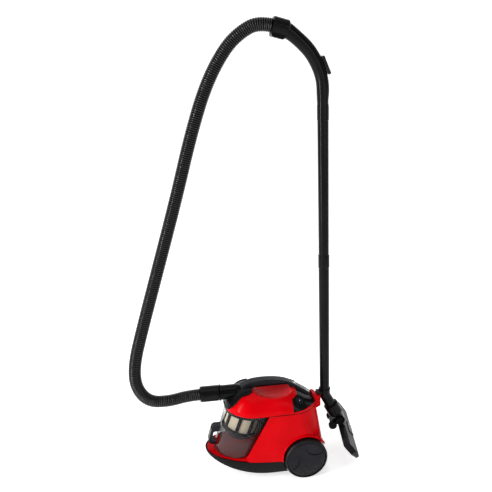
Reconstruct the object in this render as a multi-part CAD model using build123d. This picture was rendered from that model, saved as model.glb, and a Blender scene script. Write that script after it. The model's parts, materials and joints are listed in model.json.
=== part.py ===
from build123d import *
from functools import lru_cache
import math
import os

# Canister vacuum cleaner, millimetres, front towards -X, +Z up.
# The origin is on the floor under the middle of the rear axle.

# Canister body
HALF_WIDTH = 105.0
TOP_HALF_WIDTH = 97.0
TAIL = 88.0
SKIRT_TAIL = 81.0
TOP_TAIL = 52.0
TAIL_CORNER = (45.0, 45.0)
TOP_TAIL_CORNER = (92.0, 88.0)
BOW_START = -140.0
BOW_LENGTH = 182.0
SEAM_Z = 232.0
SKIRT_Z = 40.0
KEEL_Z = 24.0
KEEL_START = -110.0
KEEL_NOSE_Z = 76.0
WALL = 3.0
SPLIT_X = -87.0
SPLIT_Z = 62.0
SPLIT_RISE = 0.0793
TRAY_Z = 78.0
TRAY_THICK = 8.0
RIM = 6.3
BAY_TOP_X = -122.0
BAY_LEAN = 0.5

# Lid dome
DOME_SECTIONS = [(-158, 97, 72), (-100, 97, 75), (-50, 97, 67), (-8, 94, 44), (34, 66, 18), (54, 34, 6)]
DOME_NOSE_ANGLES = (78, 62, 46, 30, 14)
SCOOP_X = -95.0
SCOOP_LENGTH = 72.0
SCOOP_DEPTH = 34.0
SCOOP_AXIS_Z = 438.0
HANDLE_WIDTH = 36.0
HANDLE_UNDER_Z = 300.0

# Dust cup
CUP_TOP_X = -158.0
CUP_TOP_RADIUS = 95.0
CUP_BASE_X = -209.0
CUP_BASE_RADIUS = 84.0
CUP_WALL = 2.5
CUP_TOP_Z = SEAM_Z - 0.8
CUP_BASE_Z = TRAY_Z + 0.5

# Wheels and caster
WHEEL_RADIUS = 71.7
WHEEL_OUTER_Y = 123.5
WHEEL_WIDTH = 27.0
TYRE_THICK = 5.6
WELL_RADIUS = 76.0
WELL_Y = 91.0
AXLE_RADIUS = 5.0
RUNNING_FIT = 0.05
CASTER_X = -215.0
CASTER_TRAIL = 11.0
CASTER_RADIUS = 17.0
CASTER_WELL = 34.0
CASTER_WELL_Z = 45.0
STEM_RADIUS = 5.0

# Hose, its route in X and Z, from the inlet cuff to the grip cuff
HOSE_CREST = 20.0
HOSE_ROOT = 18.0
HOSE_BORE = 16.0
HOSE_RIBS = 170
HOSE_SOCKET = 26.0
HOSE_ROUTE = [
    (-312, 282), (-375, 282), (-437, 268), (-504, 273), (-543, 330), (-544, 412), (-513, 530), (-452, 742),
    (-392, 952), (-346, 1130), (-300, 1272), (-246, 1370), (-199, 1417), (-143, 1445), (-85, 1430),
]

# Inlet
INLET_Z = 282.0
INLET_RADIUS = 24.0
INLET_BORE = 19.0
INLET_DROP_X = -186.0
INLET_FRONT_X = -273.0
CUFF_RADIUS = 26.0

# Wand, from the foot of its lower tube, leaning forward
WAND_X = 90.6
WAND_Z = 261.5
WAND_LEAN = 2.5
LOWER_LENGTH = 480.0
UPPER_LENGTH = 468.0
WAND_LENGTH = LOWER_LENGTH + UPPER_LENGTH
TUBE_FOOT_RADIUS = 16.2
TUBE_HEAD_RADIUS = 16.8
SLEEVE_RADIUS = 17.8
SLEEVE_LENGTH = 40.0
PLUG_RADIUS = 15.6
PLUG_LENGTH = 34.0
PLUG_TAPER = 0.6
TUBE_BORE = 13.8
GRIP_RISE = 81.5
GRIP_BENDS = [(14, 1356), (-36, 1404), (-72, 1424)]
GRIP_END_RADIUS = 21.0
GRIP_FOOT_RADIUS = 17.8
HOOK_NEAR = -23.0
HOOK_FAR = -29.0
HOOK_HALF = 12.0
HOOK_TOP = -8.0
HOOK_FOOT = -48.0
HOOK_SLACK = 0.5

# Neck and floor head: the hinge between them, and how the head hangs and is turned
PIVOT = Vector(146, 0, 141)
NECK_DROP = 25.0
NECK_RADIUS = 18.4
NECK_BORE = 11.5
SWIVEL_REACH = 68.0
SPIGOT_RADIUS = 15.0
SPIGOT_LENGTH = 16.0
COLLAR_RADIUS = 25.0
COLLAR_END = 23.0
HEAD_LEAN = 38.5
HEAD_YAW = 9.7
HEAD_WIDTH = 263.0
HEAD_DEPTH = 79.0
HEAD_THICK = 22.3
SOLE_THICK = 5.0
PIVOT_U = -22.1
PIVOT_W = 18.8
BARREL_RADIUS = 19.0
BARREL_HALF = 19.0
ROLLER_U = -26.8
ROLLER_W = -8.0
ROLLER_RADIUS = 14.0
ROLLER_Y = 29.5
ROLLER_WIDTH = 14.0

WAND = Plane(
    origin=(WAND_X, 0, WAND_Z),
    x_dir=(math.cos(math.radians(WAND_LEAN)), 0, math.sin(math.radians(WAND_LEAN))),
    z_dir=(-math.sin(math.radians(WAND_LEAN)), 0, math.cos(math.radians(WAND_LEAN))),
)
HEAD_FORWARD = Vector(
    math.sin(math.radians(HEAD_LEAN)) * math.cos(math.radians(HEAD_YAW)),
    -math.sin(math.radians(HEAD_LEAN)) * math.sin(math.radians(HEAD_YAW)),
    -math.cos(math.radians(HEAD_LEAN)),
)
HEAD_UP = Vector(
    math.cos(math.radians(HEAD_LEAN)) * math.cos(math.radians(HEAD_YAW)),
    -math.cos(math.radians(HEAD_LEAN)) * math.sin(math.radians(HEAD_YAW)),
    math.sin(math.radians(HEAD_LEAN)),
)
HEAD = Plane(origin=PIVOT - HEAD_FORWARD * PIVOT_U - HEAD_UP * PIVOT_W, x_dir=HEAD_FORWARD, z_dir=HEAD_UP)
NECK_BEND = WAND.from_local_coords(Vector(0, 0, -NECK_DROP))
NECK_AXIS = (PIVOT - NECK_BEND).normalized()
SWIVEL = Plane(origin=PIVOT - NECK_AXIS * SWIVEL_REACH, x_dir=(0, 1, 0), z_dir=NECK_AXIS)


def block(x0, x1, y0, y1, z0, z1):
    return Pos((x0 + x1) / 2, (y0 + y1) / 2, (z0 + z1) / 2) * Box(x1 - x0, y1 - y0, z1 - z0)


def rod_x(radius, x0, x1, y, z):
    return Pos((x0 + x1) / 2, y, z) * Rot(0, 90, 0) * Cylinder(radius, x1 - x0)


def rod_y(radius, y0, y1, x, z):
    return Pos(x, (y0 + y1) / 2, z) * Rot(90, 0, 0) * Cylinder(radius, y1 - y0)


def rod_z(radius, z0, z1, x, y):
    return Pos(x, y, (z0 + z1) / 2) * Cylinder(radius, z1 - z0)


def side_prism(points, half=200.0):
    """A solid with this outline in X and Z, as wide as half on both sides of the middle."""
    return extrude(Plane.XZ * make_face(Polyline(*points, close=True)), amount=half, both=True)


def turned(points):
    """A solid of revolution about Z from an outline of radius and height."""
    return revolve(Plane.XZ * make_face(Polyline(*points, close=True)), Axis.Z)


def corner_radii(points, straight_end=0.0):
    """Tangent arcs as large as the runs beside each corner allow, keeping both ends straight."""
    radii = []
    last = len(points) - 3
    for k, (a, b, c) in enumerate(zip(points, points[1:], points[2:])):
        run_in = (b - a).length
        run_out = (c - b).length
        tangent = 0.45 * min(run_in, run_out)
        if k == 0:
            tangent = min(tangent, run_in - straight_end)
        if k == last:
            tangent = min(tangent, run_out - straight_end)
        half_turn = math.radians((b - a).get_angle(c - b)) / 2
        radii.append(tangent / math.tan(half_turn))
    return radii


def ring_on(path, share, radius):
    return Plane(origin=path @ share, x_dir=(0, 1, 0), z_dir=path % share) * Circle(radius)


# Body outlines


def plan(half_width, tail, corner, inset=0.0):
    """The body from above: a tail with elliptic corners, straight flanks and an elliptic bow."""
    w = half_width - inset
    back = tail - inset
    long = corner[0] - inset
    wide = corner[1] - inset
    bow = EllipticalCenterArc((BOW_START, 0), BOW_LENGTH - inset, w, start_angle=90, arc_size=180)
    right = Line((BOW_START, -w), (back - long, -w))
    right_corner = EllipticalCenterArc((back - long, wide - w), long, wide, start_angle=270, arc_size=90)
    rear = Line((back, wide - w), (back, w - wide))
    left_corner = EllipticalCenterArc((back - long, w - wide), long, wide, start_angle=0, arc_size=90)
    left = Line((back - long, w), (BOW_START, w))
    return make_face(Wire([bow, right, right_corner, rear, left_corner, left]))


def base_plan(inset=0.0):
    return plan(HALF_WIDTH, TAIL, TAIL_CORNER, inset)


def lid_plan(inset=0.0):
    return plan(TOP_HALF_WIDTH, TOP_TAIL, TOP_TAIL_CORNER, inset)


def split_z(x):
    return SPLIT_Z - (x - SPLIT_X) * SPLIT_RISE


def below_split():
    return side_prism([(-400, split_z(-400)), (200, split_z(200)), (200, -60), (-400, -60)])


def bay_edge_x(z):
    return BAY_TOP_X - (SEAM_Z - z) * BAY_LEAN


def ahead_of_bay(shift=0.0):
    """Everything in front of the slanting edge where the housing ends and the cup shows."""
    return side_prism([(bay_edge_x(300) + shift, 300), (bay_edge_x(0) + shift, 0), (-500, 0), (-500, 300)])


def bay_outline(centre, radius):
    """The way that the cup slides along: round at the back and open to the front."""
    back = CenterArc((centre, 0), radius, 270, 180)
    far = -460.0
    ends = Polyline((centre, radius), (far, radius), (far, -radius), (centre, -radius))
    return make_face(Wire([back, *ends.edges()]))


def bay(margin, z0, z1):
    def at(z):
        share = (z - CUP_BASE_Z) / (CUP_TOP_Z - CUP_BASE_Z)
        centre = CUP_BASE_X + share * (CUP_TOP_X - CUP_BASE_X)
        radius = CUP_BASE_RADIUS + share * (CUP_TOP_RADIUS - CUP_BASE_RADIUS)
        return Pos(0, 0, z) * bay_outline(centre, radius + margin)

    return loft([at(z0), at(z1)], ruled=True)


def wheel_wells(margin):
    wells = Part()
    for side in (-1, 1):
        inner = side * (WELL_Y - margin)
        outer = side * (HALF_WIDTH + 30)
        wells += rod_y(WELL_RADIUS + margin, min(inner, outer), max(inner, outer), 0, WHEEL_RADIUS)
    return wells


SCREW_SPOTS = [(58, -42), (58, 42), (-96, -60), (-96, 60)]
BOSS_RADIUS = 7.0
BOSS_TOP = 20.0


def tray():
    """Red floor that the cup slides on, let into the base behind its bumper rim."""
    face = Pos(0, 0, TRAY_Z - TRAY_THICK) * base_plan(RIM)
    return extrude(face, amount=TRAY_THICK) & block(-400, -84, -200, 200, 0, 200)


def keel(lift):
    """Side view of the base: flat underneath, swept up to the bumper."""
    nose = BOW_START - BOW_LENGTH - 4
    start = (KEEL_START, KEEL_Z + lift)
    end = (nose, KEEL_NOSE_Z + lift)
    under = ThreePointArc(start, (-230, 42 + lift), end)
    back = TAIL + 5
    rest = Polyline(end, (nose, 120), (back, 120), (back, 38 + lift), (TAIL - 16, KEEL_Z + lift), start)
    face = make_face(Wire([under, *rest.edges()]))
    return extrude(Plane.XZ * face, amount=160, both=True)


def base_chassis():
    outer = extrude(base_plan(), amount=110) & keel(0)
    outer &= below_split() & block(-400, 200, -200, 200, 0, TRAY_Z)
    room = extrude(base_plan(WALL + 0.5), amount=110) & keel(WALL)
    room -= wheel_wells(WALL)
    room -= rod_z(CASTER_WELL + WALL, 0, CASTER_WELL_Z + WALL, CASTER_X, 0)
    room -= rod_z(STEM_RADIUS + 6, 0, TRAY_Z - TRAY_THICK - 1, CASTER_X, 0)
    for x, y in SCREW_SPOTS:
        room -= rod_z(BOSS_RADIUS, 0, 100, x, y)
    body = outer - room - wheel_wells(0) - tray()
    body -= rod_z(CASTER_WELL, -5, CASTER_WELL_Z, CASTER_X, 0)
    body -= rod_z(STEM_RADIUS + RUNNING_FIT, 0, TRAY_Z - TRAY_THICK - 3, CASTER_X, 0)
    for x, y in SCREW_SPOTS:
        body -= rod_z(4.2, 0, KEEL_Z + 8, x, y) + rod_z(2.0, 0, 100, x, y)
    for x in range(-130, 71, 20):
        body -= block(x, x + 8, -50, 50, 0, KEEL_Z + 1)
    return body


def housing_form(inset):
    low = Pos(0, 0, SKIRT_Z) * plan(HALF_WIDTH, SKIRT_TAIL, TAIL_CORNER, inset)
    high = Pos(0, 0, SEAM_Z) * lid_plan(inset)
    return loft([low, high], ruled=True)


GRILLE_HALF = 36.0
GRILLE_LOW = 100.0
GRILLE_HIGH = 172.0
OUTLET_Y = -50.0
OUTLET_Z = 84.0


def grille_window():
    return block(50, 120, -GRILLE_HALF, GRILLE_HALF, GRILLE_LOW, GRILLE_HIGH)


PARK_OUTLINE = [(44, 254), (57, 249), (60, 242.8), (76, 242.1), (76, 206), (60, 197), (44, 204)]
PARK_REAR = -19.2


def park_bracket():
    """Red block on the back that takes the wand's hook, just clear of the neck's collar."""
    return side_prism(PARK_OUTLINE, HOOK_HALF + 4) & WAND.location * block(-60, PARK_REAR, -40, 40, -80, 0)


FENDER_LIP = 3.6
FENDER_OUT = 2.0
FENDER_END_Z = 115.0
BAY_CORNER = 10.0


def housing_side():
    """Side view of the housing: slanting bay edge, round lower corner, and the seam with the base."""
    front_z = split_z(-202.4)
    prism = side_prism([(bay_edge_x(SEAM_Z), SEAM_Z), (bay_edge_x(front_z), front_z),
                        (200, split_z(200)), (200, SEAM_Z)])
    corner = prism.edges().filter_by(Axis.Y).sort_by(Axis.X)[0]
    return fillet(corner, BAY_CORNER)


def fenders():
    """Raised lips round the wheel arches."""
    lips = Part()
    for side in (-1, 1):
        inner = side * (WELL_Y - 1)
        outer = side * (HALF_WIDTH + FENDER_OUT)
        lip = rod_y(WELL_RADIUS + FENDER_LIP, min(inner, outer), max(inner, outer), 0, WHEEL_RADIUS)
        lips += chamfer(lip.edges().filter_by(GeomType.CIRCLE), FENDER_OUT)
    return lips - below_split() - block(0, 200, -200, 200, 0, FENDER_END_Z)


def main_housing():
    outer = housing_form(0) & housing_side()
    room = housing_form(WALL) - bay(1 + WALL, 50, SEAM_Z) - wheel_wells(WALL) - ahead_of_bay(2 * WALL)
    body = outer - room + fenders()
    for side in (-1, 1):
        inner = side * 70
        rim = side * WELL_Y
        body += rod_y(12, min(inner, rim), max(inner, rim), 0, WHEEL_RADIUS)
    for x, y in SCREW_SPOTS:
        body += rod_z(BOSS_RADIUS, split_z(x), split_z(x) + BOSS_TOP, x, y) - below_split()
    body += tray()
    body -= bay(1, TRAY_Z, SEAM_Z)
    body -= wheel_wells(0)
    for x, y in SCREW_SPOTS:
        body -= rod_z(2.0, 0, split_z(x) + BOSS_TOP - 3, x, y)
    body -= rod_y(AXLE_RADIUS, -200, 200, 0, WHEEL_RADIUS) - block(-20, 20, -78, 78, 0, 200)
    body -= grille_window()
    body -= rod_x(9, 60, 120, OUTLET_Y, OUTLET_Z)
    body -= park_bracket()
    return body.solids().sort_by(SortBy.VOLUME)[-1]


def exhaust_grille():
    plate = (housing_form(0) - housing_form(WALL)) & grille_window()
    for z in range(int(GRILLE_LOW) + 8, int(GRILLE_HIGH) - 8, 8):
        plate -= block(50, 120, 1 - GRILLE_HALF + 4, GRILLE_HALF - 5, z, z + 4)
    return plate


def cord_outlet():
    wall = rod_x(9, 60, 120, OUTLET_Y, OUTLET_Z) & (housing_form(0) - housing_form(WALL))
    lip = rod_x(12, 60, 120, OUTLET_Y, OUTLET_Z) & (housing_form(-2) - housing_form(0))
    return wall + lip - rod_x(5, 40, 130, OUTLET_Y, OUTLET_Z)


def park_socket():
    slot = block(HOOK_FAR - HOOK_SLACK, HOOK_NEAR + HOOK_SLACK, -HOOK_HALF - HOOK_SLACK,
                 HOOK_HALF + HOOK_SLACK, HOOK_FOOT - 2, 0)
    return park_bracket() - WAND.location * slot


# Lid


@lru_cache
def dome(inset):
    """Lid form: half elliptic sections, round to the front like a ball's and falling to the tail."""
    def section(x, w, h):
        arch = EllipticalCenterArc((0, 0), w, h, start_angle=0, arc_size=180)
        face = make_face(Wire([arch, Line((-w, 0), (w, 0))]))
        return Plane(origin=(x, 0, SEAM_Z), x_dir=(0, 1, 0), z_dir=(1, 0, 0)) * face

    sections = []
    front, half, high = DOME_SECTIONS[0]
    for angle in DOME_NOSE_ANGLES:
        reach = math.sin(math.radians(angle)) * (half - inset)
        share = math.cos(math.radians(angle))
        sections.append(section(front - reach, share * (half - inset), share * (high - inset)))
    for x, w, h in DOME_SECTIONS:
        sections.append(section(x, w - inset, h - inset))
    foot = extrude(Pos(0, 0, SEAM_Z) * lid_plan(inset), amount=120)
    return loft(sections) & foot


NOSE_EDGE = [(-259, SEAM_Z - 1), (-209, 286), (-170, 298), (-150, 325), (-420, 325), (-420, SEAM_Z - 1)]
NOSE_PROUD = 1.5
PANEL_EDGE = [(-42, 238), (-11, 242), (14, 244), (46, 239), (48, 262), (-18, 305), (-19, 277), (-43, 275)]
BUTTON_SPOT = (-17.0, 70.0, 265.0)
BUTTON_AXIS = (0.327, 0.467, 0.821)
BEZEL_RADIUS = 20.0
BEZEL_PROUD = 2.0
BUTTON_RADIUS = 13.0
BUTTON_GAP = 0.5


def button_plane(side):
    x, y, z = BUTTON_SPOT
    a, b, c = BUTTON_AXIS
    return Plane(origin=(x, side * y, z), x_dir=(c, 0, -a), z_dir=(a, side * b, c))


def panel_prism(side):
    reach = block(-100, 80, 0, 130, 200, 320) if side > 0 else block(-100, 80, -130, 0, 200, 320)
    return side_prism(PANEL_EDGE) & reach


def button_hole(side):
    return button_plane(side).location * Cylinder(BUTTON_RADIUS + BUTTON_GAP, 60)


def handle_form():
    top = Spline((-203, 300), (-169, 316), (-137, 320), (-98, 319), (-58, 312), (-28, 300), (2, 280),
                 (24, 264), (42, 247))
    rest = Polyline((42, 247), (38, 236), (-34, 284), (-44, HANDLE_UNDER_Z),
                    (-158, HANDLE_UNDER_Z), (-180, 284), (-203, 300))
    face = make_face(Wire([top, *rest.edges()]))
    bar = extrude(Plane.XZ * face, amount=HANDLE_WIDTH / 2, both=True)
    return fillet(bar.edges().filter_by(GeomType.BSPLINE), 6)


def finger_scoop(margin):
    """Ring-shaped dish under the handle: deep in the middle, rising to both flanks."""
    face = Plane.XZ * (Pos(SCOOP_X, HANDLE_UNDER_Z) * Ellipse(SCOOP_LENGTH + margin, SCOOP_DEPTH + margin))
    return revolve(face, Axis((0, 0, SCOOP_AXIS_Z), (1, 0, 0)))


def inlet_bore_run(radius):
    bend = (INLET_DROP_X, 0, INLET_Z)
    path = FilletPolyline((INLET_FRONT_X, 0, INLET_Z), bend, (INLET_DROP_X, 0, SEAM_Z + 1), radius=34)
    return sweep(ring_on(path, 0, radius), path=path)


def top_cover():
    outer = dome(0)
    shell = outer - dome(WALL)
    cover = shell + (outer & finger_scoop(WALL))
    cover -= finger_scoop(0)
    cover -= side_prism(NOSE_EDGE)
    cover -= handle_form() + handle_trim()
    for side in (-1, 1):
        cover -= panel_prism(side) & shell
        cover -= bezel(side)
        cover -= button_hole(side)
    cover -= inlet_bore_run(INLET_RADIUS)
    cover -= park_bracket()
    return cover.solids().sort_by(SortBy.VOLUME)[-1]


def nose_frame():
    frame = (dome(-NOSE_PROUD) - dome(WALL)) & side_prism(NOSE_EDGE)
    frame -= inlet_bore_run(INLET_RADIUS) + handle_form()
    frame -= finger_scoop(0)
    return frame.solids().sort_by(SortBy.VOLUME)[-1]


def hose_inlet():
    lip = rod_x(INLET_RADIUS + 3, INLET_FRONT_X, INLET_FRONT_X + 5, 0, INLET_Z)
    return inlet_bore_run(INLET_RADIUS) + lip - inlet_bore_run(INLET_BORE)


def carry_handle():
    return handle_form() - handle_liner() - handle_trim() - park_bracket() - inlet_bore_run(INLET_RADIUS)


TRIM_THICK = 1.5
TRIM_X = (-22.0, 36.0)
TRIM_HALF = 6.0


def handle_liner():
    return handle_form() & block(SCOOP_X - 58, SCOOP_X + 52, -40, 40, 280, HANDLE_UNDER_Z + 6)


def handle_trim():
    """Silvery strip let into the top of the handle's rear slope."""
    skin = handle_form() - Pos(0, 0, -TRIM_THICK) * handle_form()
    return skin & block(TRIM_X[0], TRIM_X[1], -TRIM_HALF, TRIM_HALF, 200, 340)


def bezel(side):
    """Round seat that the button stands in."""
    disc = Pos(0, 0, (BEZEL_PROUD - WALL) / 2) * Cylinder(BEZEL_RADIUS, BEZEL_PROUD + WALL)
    return button_plane(side).location * disc


def side_panel(side):
    plate = panel_prism(side) & (dome(0) - dome(WALL))
    plate += bezel(side)
    plate -= button_hole(side)
    plate -= handle_form() + handle_trim() + park_bracket()
    return plate.solids().sort_by(SortBy.VOLUME)[-1]


def push_button(side):
    place = button_plane(side).location
    cap = Pos(0, 0, -2) * Cylinder(BUTTON_RADIUS, 9)
    cap = chamfer(cap.edges().group_by(Axis.Z)[-1], 1.5)
    stalk = Pos(0, 0, -10) * Cylinder(4, 8)
    dimple = Pos(0, 0, 2.2) * Cylinder(2, 1)
    return place * (cap + stalk - dimple)


def power_switch():
    """Switch under the power button, on a bridge whose legs meet the panel's inside."""
    body = Pos(0, 0, -25) * Box(16, 16, 12) + Pos(0, 0, -18.2) * Cylinder(4, 1.6)
    body += Pos(0, 0, -32) * Box(42, 10, 2)
    for x in (-19.5, 19.5):
        body += Pos(x, 0, -18.5) * Box(3, 10, 29)
    return (button_plane(-1).location * body) & dome(WALL)


# Dust cup


def cup_form(inset, z0, z1):
    def at(z):
        share = (z - CUP_BASE_Z) / (CUP_TOP_Z - CUP_BASE_Z)
        x = CUP_BASE_X + share * (CUP_TOP_X - CUP_BASE_X)
        radius = CUP_BASE_RADIUS + share * (CUP_TOP_RADIUS - CUP_BASE_RADIUS)
        return Pos(x, 0, z) * Circle(radius - inset)

    return loft([at(z0), at(z1)], ruled=True)


CAP_THICK = 7.0
SEAL_HIGH = 4.0
CUP_LEAN = math.degrees(math.atan2(CUP_TOP_X - CUP_BASE_X, CUP_TOP_Z - CUP_BASE_Z))
CORE_X = -180.0
DUCT_WALL = 2.0
CLEAN_AIR_X = -146.6
CLEAN_AIR_RADIUS = 15.0
CORE = Location((CORE_X, 0, CUP_TOP_Z - CAP_THICK), (0, CUP_LEAN, 0))
FILTER_RADIUS = 58.0
FILTER_LENGTH = 82.0
FILTER_RIBS = 8
FILTER_RIB = 12.0
CUP_HANDLE_LOW = 95.0
CUP_HANDLE_HIGH = 164.0
CUP_HANDLE_HALF = 12.0
CUP_HANDLE_REACH = 28.0
CUP_HANDLE_BAR = 10.0
CUP_BUTTON_Z = 152.0


def dust_cup():
    cup = cup_form(0, CUP_BASE_Z, CUP_TOP_Z)
    return cup - cup_form(CUP_WALL, CUP_BASE_Z + CUP_WALL, CUP_TOP_Z + 1)


def cup_cap():
    cap = cup_form(CUP_WALL, CUP_TOP_Z - CAP_THICK, CUP_TOP_Z)
    cap -= rod_z(INLET_BORE, 200, 250, INLET_DROP_X, 0)
    cap -= rod_z(CLEAN_AIR_RADIUS, 200, 250, CLEAN_AIR_X, 0)
    return cap


def cup_seal():
    low = CUP_TOP_Z - CAP_THICK - SEAL_HIGH
    high = CUP_TOP_Z - CAP_THICK
    return cup_form(CUP_WALL, low, high) - cup_form(CUP_WALL + 5, low - 1, high + 1)


def core_room():
    """Space under the cap: what the filter cartridge may fill."""
    return cup_form(CUP_WALL, CUP_BASE_Z + CUP_WALL, CUP_TOP_Z - CAP_THICK)


def filter_frame():
    top = Pos(0, 0, 6) * Cylinder(FILTER_RADIUS, 36)
    foot = Pos(0, 0, -FILTER_LENGTH + 3) * Cylinder(FILTER_RADIUS, 6)
    frame = top + foot
    for k in range(FILTER_RIBS):
        rib = Pos(FILTER_RADIUS - 2, 0, -FILTER_LENGTH / 2) * Box(4, FILTER_RIB, FILTER_LENGTH)
        frame += Rot(0, 0, 360 * (k + 0.5) / FILTER_RIBS) * rib
    frame -= Pos(0, 0, -FILTER_LENGTH / 2) * Cylinder(FILTER_RADIUS - 10, FILTER_LENGTH + 140)
    return (CORE * frame) & core_room()


def filter_media():
    sleeve = Pos(0, 0, -FILTER_LENGTH / 2 - 3) * Cylinder(FILTER_RADIUS - 4, FILTER_LENGTH - 18)
    sleeve -= Pos(0, 0, -FILTER_LENGTH / 2) * Cylinder(FILTER_RADIUS - 8, FILTER_LENGTH)
    return (CORE * sleeve) & core_room()


def cyclone_cone():
    """Skirted cone under the filter, with the dirty-air duct that comes down through the middle."""
    low = -FILTER_LENGTH
    skirt = FILTER_RADIUS + 2
    cone = turned([(0, low), (skirt, low), (skirt + 1, low - 5), (50, low - 17), (38, low - 28),
                   (30, low - 34), (0, low - 34)])
    hollow = turned([(0, low + 1), (skirt - 4, low + 1), (skirt - 4, low - 4), (46, low - 15),
                     (27, low - 31), (0, low - 31)])
    across = (INLET_DROP_X - CORE_X) * math.cos(math.radians(CUP_LEAN))
    foot = low - 34
    duct = Pos(across, 0, foot + 80) * Cylinder(INLET_BORE + DUCT_WALL, 160)
    bore = Pos(across, 0, foot + 80) * Cylinder(INLET_BORE, 170)
    return (CORE * (cone - hollow + duct - bore)) & core_room()


def cup_front_x(z):
    share = (z - CUP_BASE_Z) / (CUP_TOP_Z - CUP_BASE_Z)
    centre = CUP_BASE_X + share * (CUP_TOP_X - CUP_BASE_X)
    return centre - CUP_BASE_RADIUS - share * (CUP_TOP_RADIUS - CUP_BASE_RADIUS)


def handle_bow(reach, low, high, half, corner):
    """Side view of the grip: a bar along the cup's front, round at both ends."""
    prism = side_prism([
        (cup_front_x(low) + 20, low), (cup_front_x(low) - reach, low),
        (cup_front_x(high) - reach, high), (cup_front_x(high) + 20, high),
    ], half)
    return fillet(prism.edges().filter_by(Axis.Y).sort_by(Axis.X)[:2], corner)


def cup_handle():
    bow = handle_bow(CUP_HANDLE_REACH, CUP_HANDLE_LOW, CUP_HANDLE_HIGH, CUP_HANDLE_HALF, 14)
    gap = CUP_HANDLE_REACH - CUP_HANDLE_BAR
    bow -= handle_bow(gap, CUP_HANDLE_LOW + CUP_HANDLE_BAR, CUP_HANDLE_HIGH - 22, 50, 6)
    bow -= cup_form(0, CUP_BASE_Z, CUP_TOP_Z)
    return (bow - cup_button_rod(0.4, 16)).solids().sort_by(SortBy.VOLUME)[-1]


def cup_button_rod(margin, length):
    """Release button in the upper arm of the cup's handle."""
    x = cup_front_x(CUP_BUTTON_Z) - CUP_HANDLE_REACH
    return rod_x(5 + margin, x - 2 - 10 * margin, x + length, 0, CUP_BUTTON_Z)


def cup_release_button():
    return cup_button_rod(0, 10)


# Inside the canister

MOTOR_Y = 38.0
MOTOR_Z = 150.0
MOTOR_RADIUS = 38.0
MOTOR_FRONT = -68.0
MOTOR_REAR = 18.0
SHAFT_RADIUS = 4.0
REEL_X = -30.0
REEL_Z = 136.0
REEL_RADIUS = 50.0
REEL_Y = (-84.0, -48.0)


def motor_housing():
    can = rod_x(MOTOR_RADIUS, MOTOR_FRONT, MOTOR_REAR, MOTOR_Y, MOTOR_Z)
    can -= rod_x(MOTOR_RADIUS - 3, MOTOR_FRONT + 3, MOTOR_REAR - 3, MOTOR_Y, MOTOR_Z)
    can -= rod_x(18, MOTOR_FRONT - 1, MOTOR_FRONT + 5, MOTOR_Y, MOTOR_Z)
    can += rod_x(9, MOTOR_REAR - 3, MOTOR_REAR + 5, MOTOR_Y, MOTOR_Z)
    can -= rod_x(SHAFT_RADIUS + RUNNING_FIT, MOTOR_REAR - 9, MOTOR_REAR + 3, MOTOR_Y, MOTOR_Z)
    for k in range(8):
        port = Rot(45 * k, 0, 0) * Pos(0, 0, MOTOR_RADIUS) * Box(14, 8, 12)
        can -= Pos(MOTOR_REAR - 22, MOTOR_Y, MOTOR_Z) * port
    return can


def motor_rotor():
    shaft = rod_x(SHAFT_RADIUS, MOTOR_FRONT + 6, MOTOR_REAR + 2, MOTOR_Y, MOTOR_Z)
    armature = rod_x(20, MOTOR_REAR - 52, MOTOR_REAR - 14, MOTOR_Y, MOTOR_Z)
    fan = rod_x(33, MOTOR_FRONT + 8, MOTOR_FRONT + 10, MOTOR_Y, MOTOR_Z)
    for k in range(7):
        blade = Rot(360 * k / 7, 0, 0) * Pos(0, 0, 21) * Box(12, 2, 22)
        fan += Pos(MOTOR_FRONT + 16, MOTOR_Y, MOTOR_Z) * blade
    return shaft + armature + fan


def motor_mount():
    """Rubber ring round the motor, on a foot that stands on the base."""
    x0 = MOTOR_FRONT + 46
    x1 = x0 + 16
    ring = rod_x(MOTOR_RADIUS + 5, x0, x1, MOTOR_Y, MOTOR_Z)
    ring += block(x0, x1, MOTOR_Y - 14, MOTOR_Y + 14, KEEL_Z + WALL, MOTOR_Z)
    return ring - rod_x(MOTOR_RADIUS, x0 - 1, x1 + 1, MOTOR_Y, MOTOR_Z)


def pre_motor_filter():
    return rod_x(30, MOTOR_FRONT - 12, MOTOR_FRONT, MOTOR_Y, MOTOR_Z)


def exhaust_filter():
    slab = housing_form(WALL) - housing_form(WALL + 10)
    return slab & block(40, 120, -GRILLE_HALF + 2, GRILLE_HALF - 2, GRILLE_LOW - 4, GRILLE_HIGH + 4)


def reel_drum():
    y0, y1 = REEL_Y
    drum = rod_y(30, y0, y1, REEL_X, REEL_Z)
    drum += rod_y(REEL_RADIUS, y0, y0 + 2.5, REEL_X, REEL_Z)
    drum += rod_y(REEL_RADIUS, y1 - 2.5, y1, REEL_X, REEL_Z)
    drum -= rod_y(25, y0 + 4, y1 + 1, REEL_X, REEL_Z) - rod_y(10, y0, y1, REEL_X, REEL_Z)
    for k in range(6):
        x = REEL_X + 40 * math.cos(math.radians(60 * k))
        z = REEL_Z + 40 * math.sin(math.radians(60 * k))
        drum -= rod_y(7, y0 - 1, y1 + 1, x, z)
    return drum - rod_y(5 + RUNNING_FIT, y0 - 1, y1 + 1, REEL_X, REEL_Z)


def reel_spindle():
    y0, y1 = REEL_Y
    return rod_y(5, WALL - WELL_Y, y1 + 3, REEL_X, REEL_Z) + rod_y(9, y1 + 0.5, y1 + 3, REEL_X, REEL_Z)


def housing_screws():
    screws = []
    for x, y in SCREW_SPOTS:
        screw = rod_z(3.8, KEEL_Z + 4.5, KEEL_Z + 8, x, y) + rod_z(2.0, KEEL_Z + 8, split_z(x) + 14, x, y)
        screws.append(screw.solids()[0])
    return Compound(screws)


# Running gear


def wheel_turn(points, side):
    """Turn an outline of radius and depth, and lay its axis across the body on this side."""
    solid = turned(points)
    return Pos(0, side * WHEEL_OUTER_Y, WHEEL_RADIUS) * Rot(90 * side, 0, 0) * solid


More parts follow.
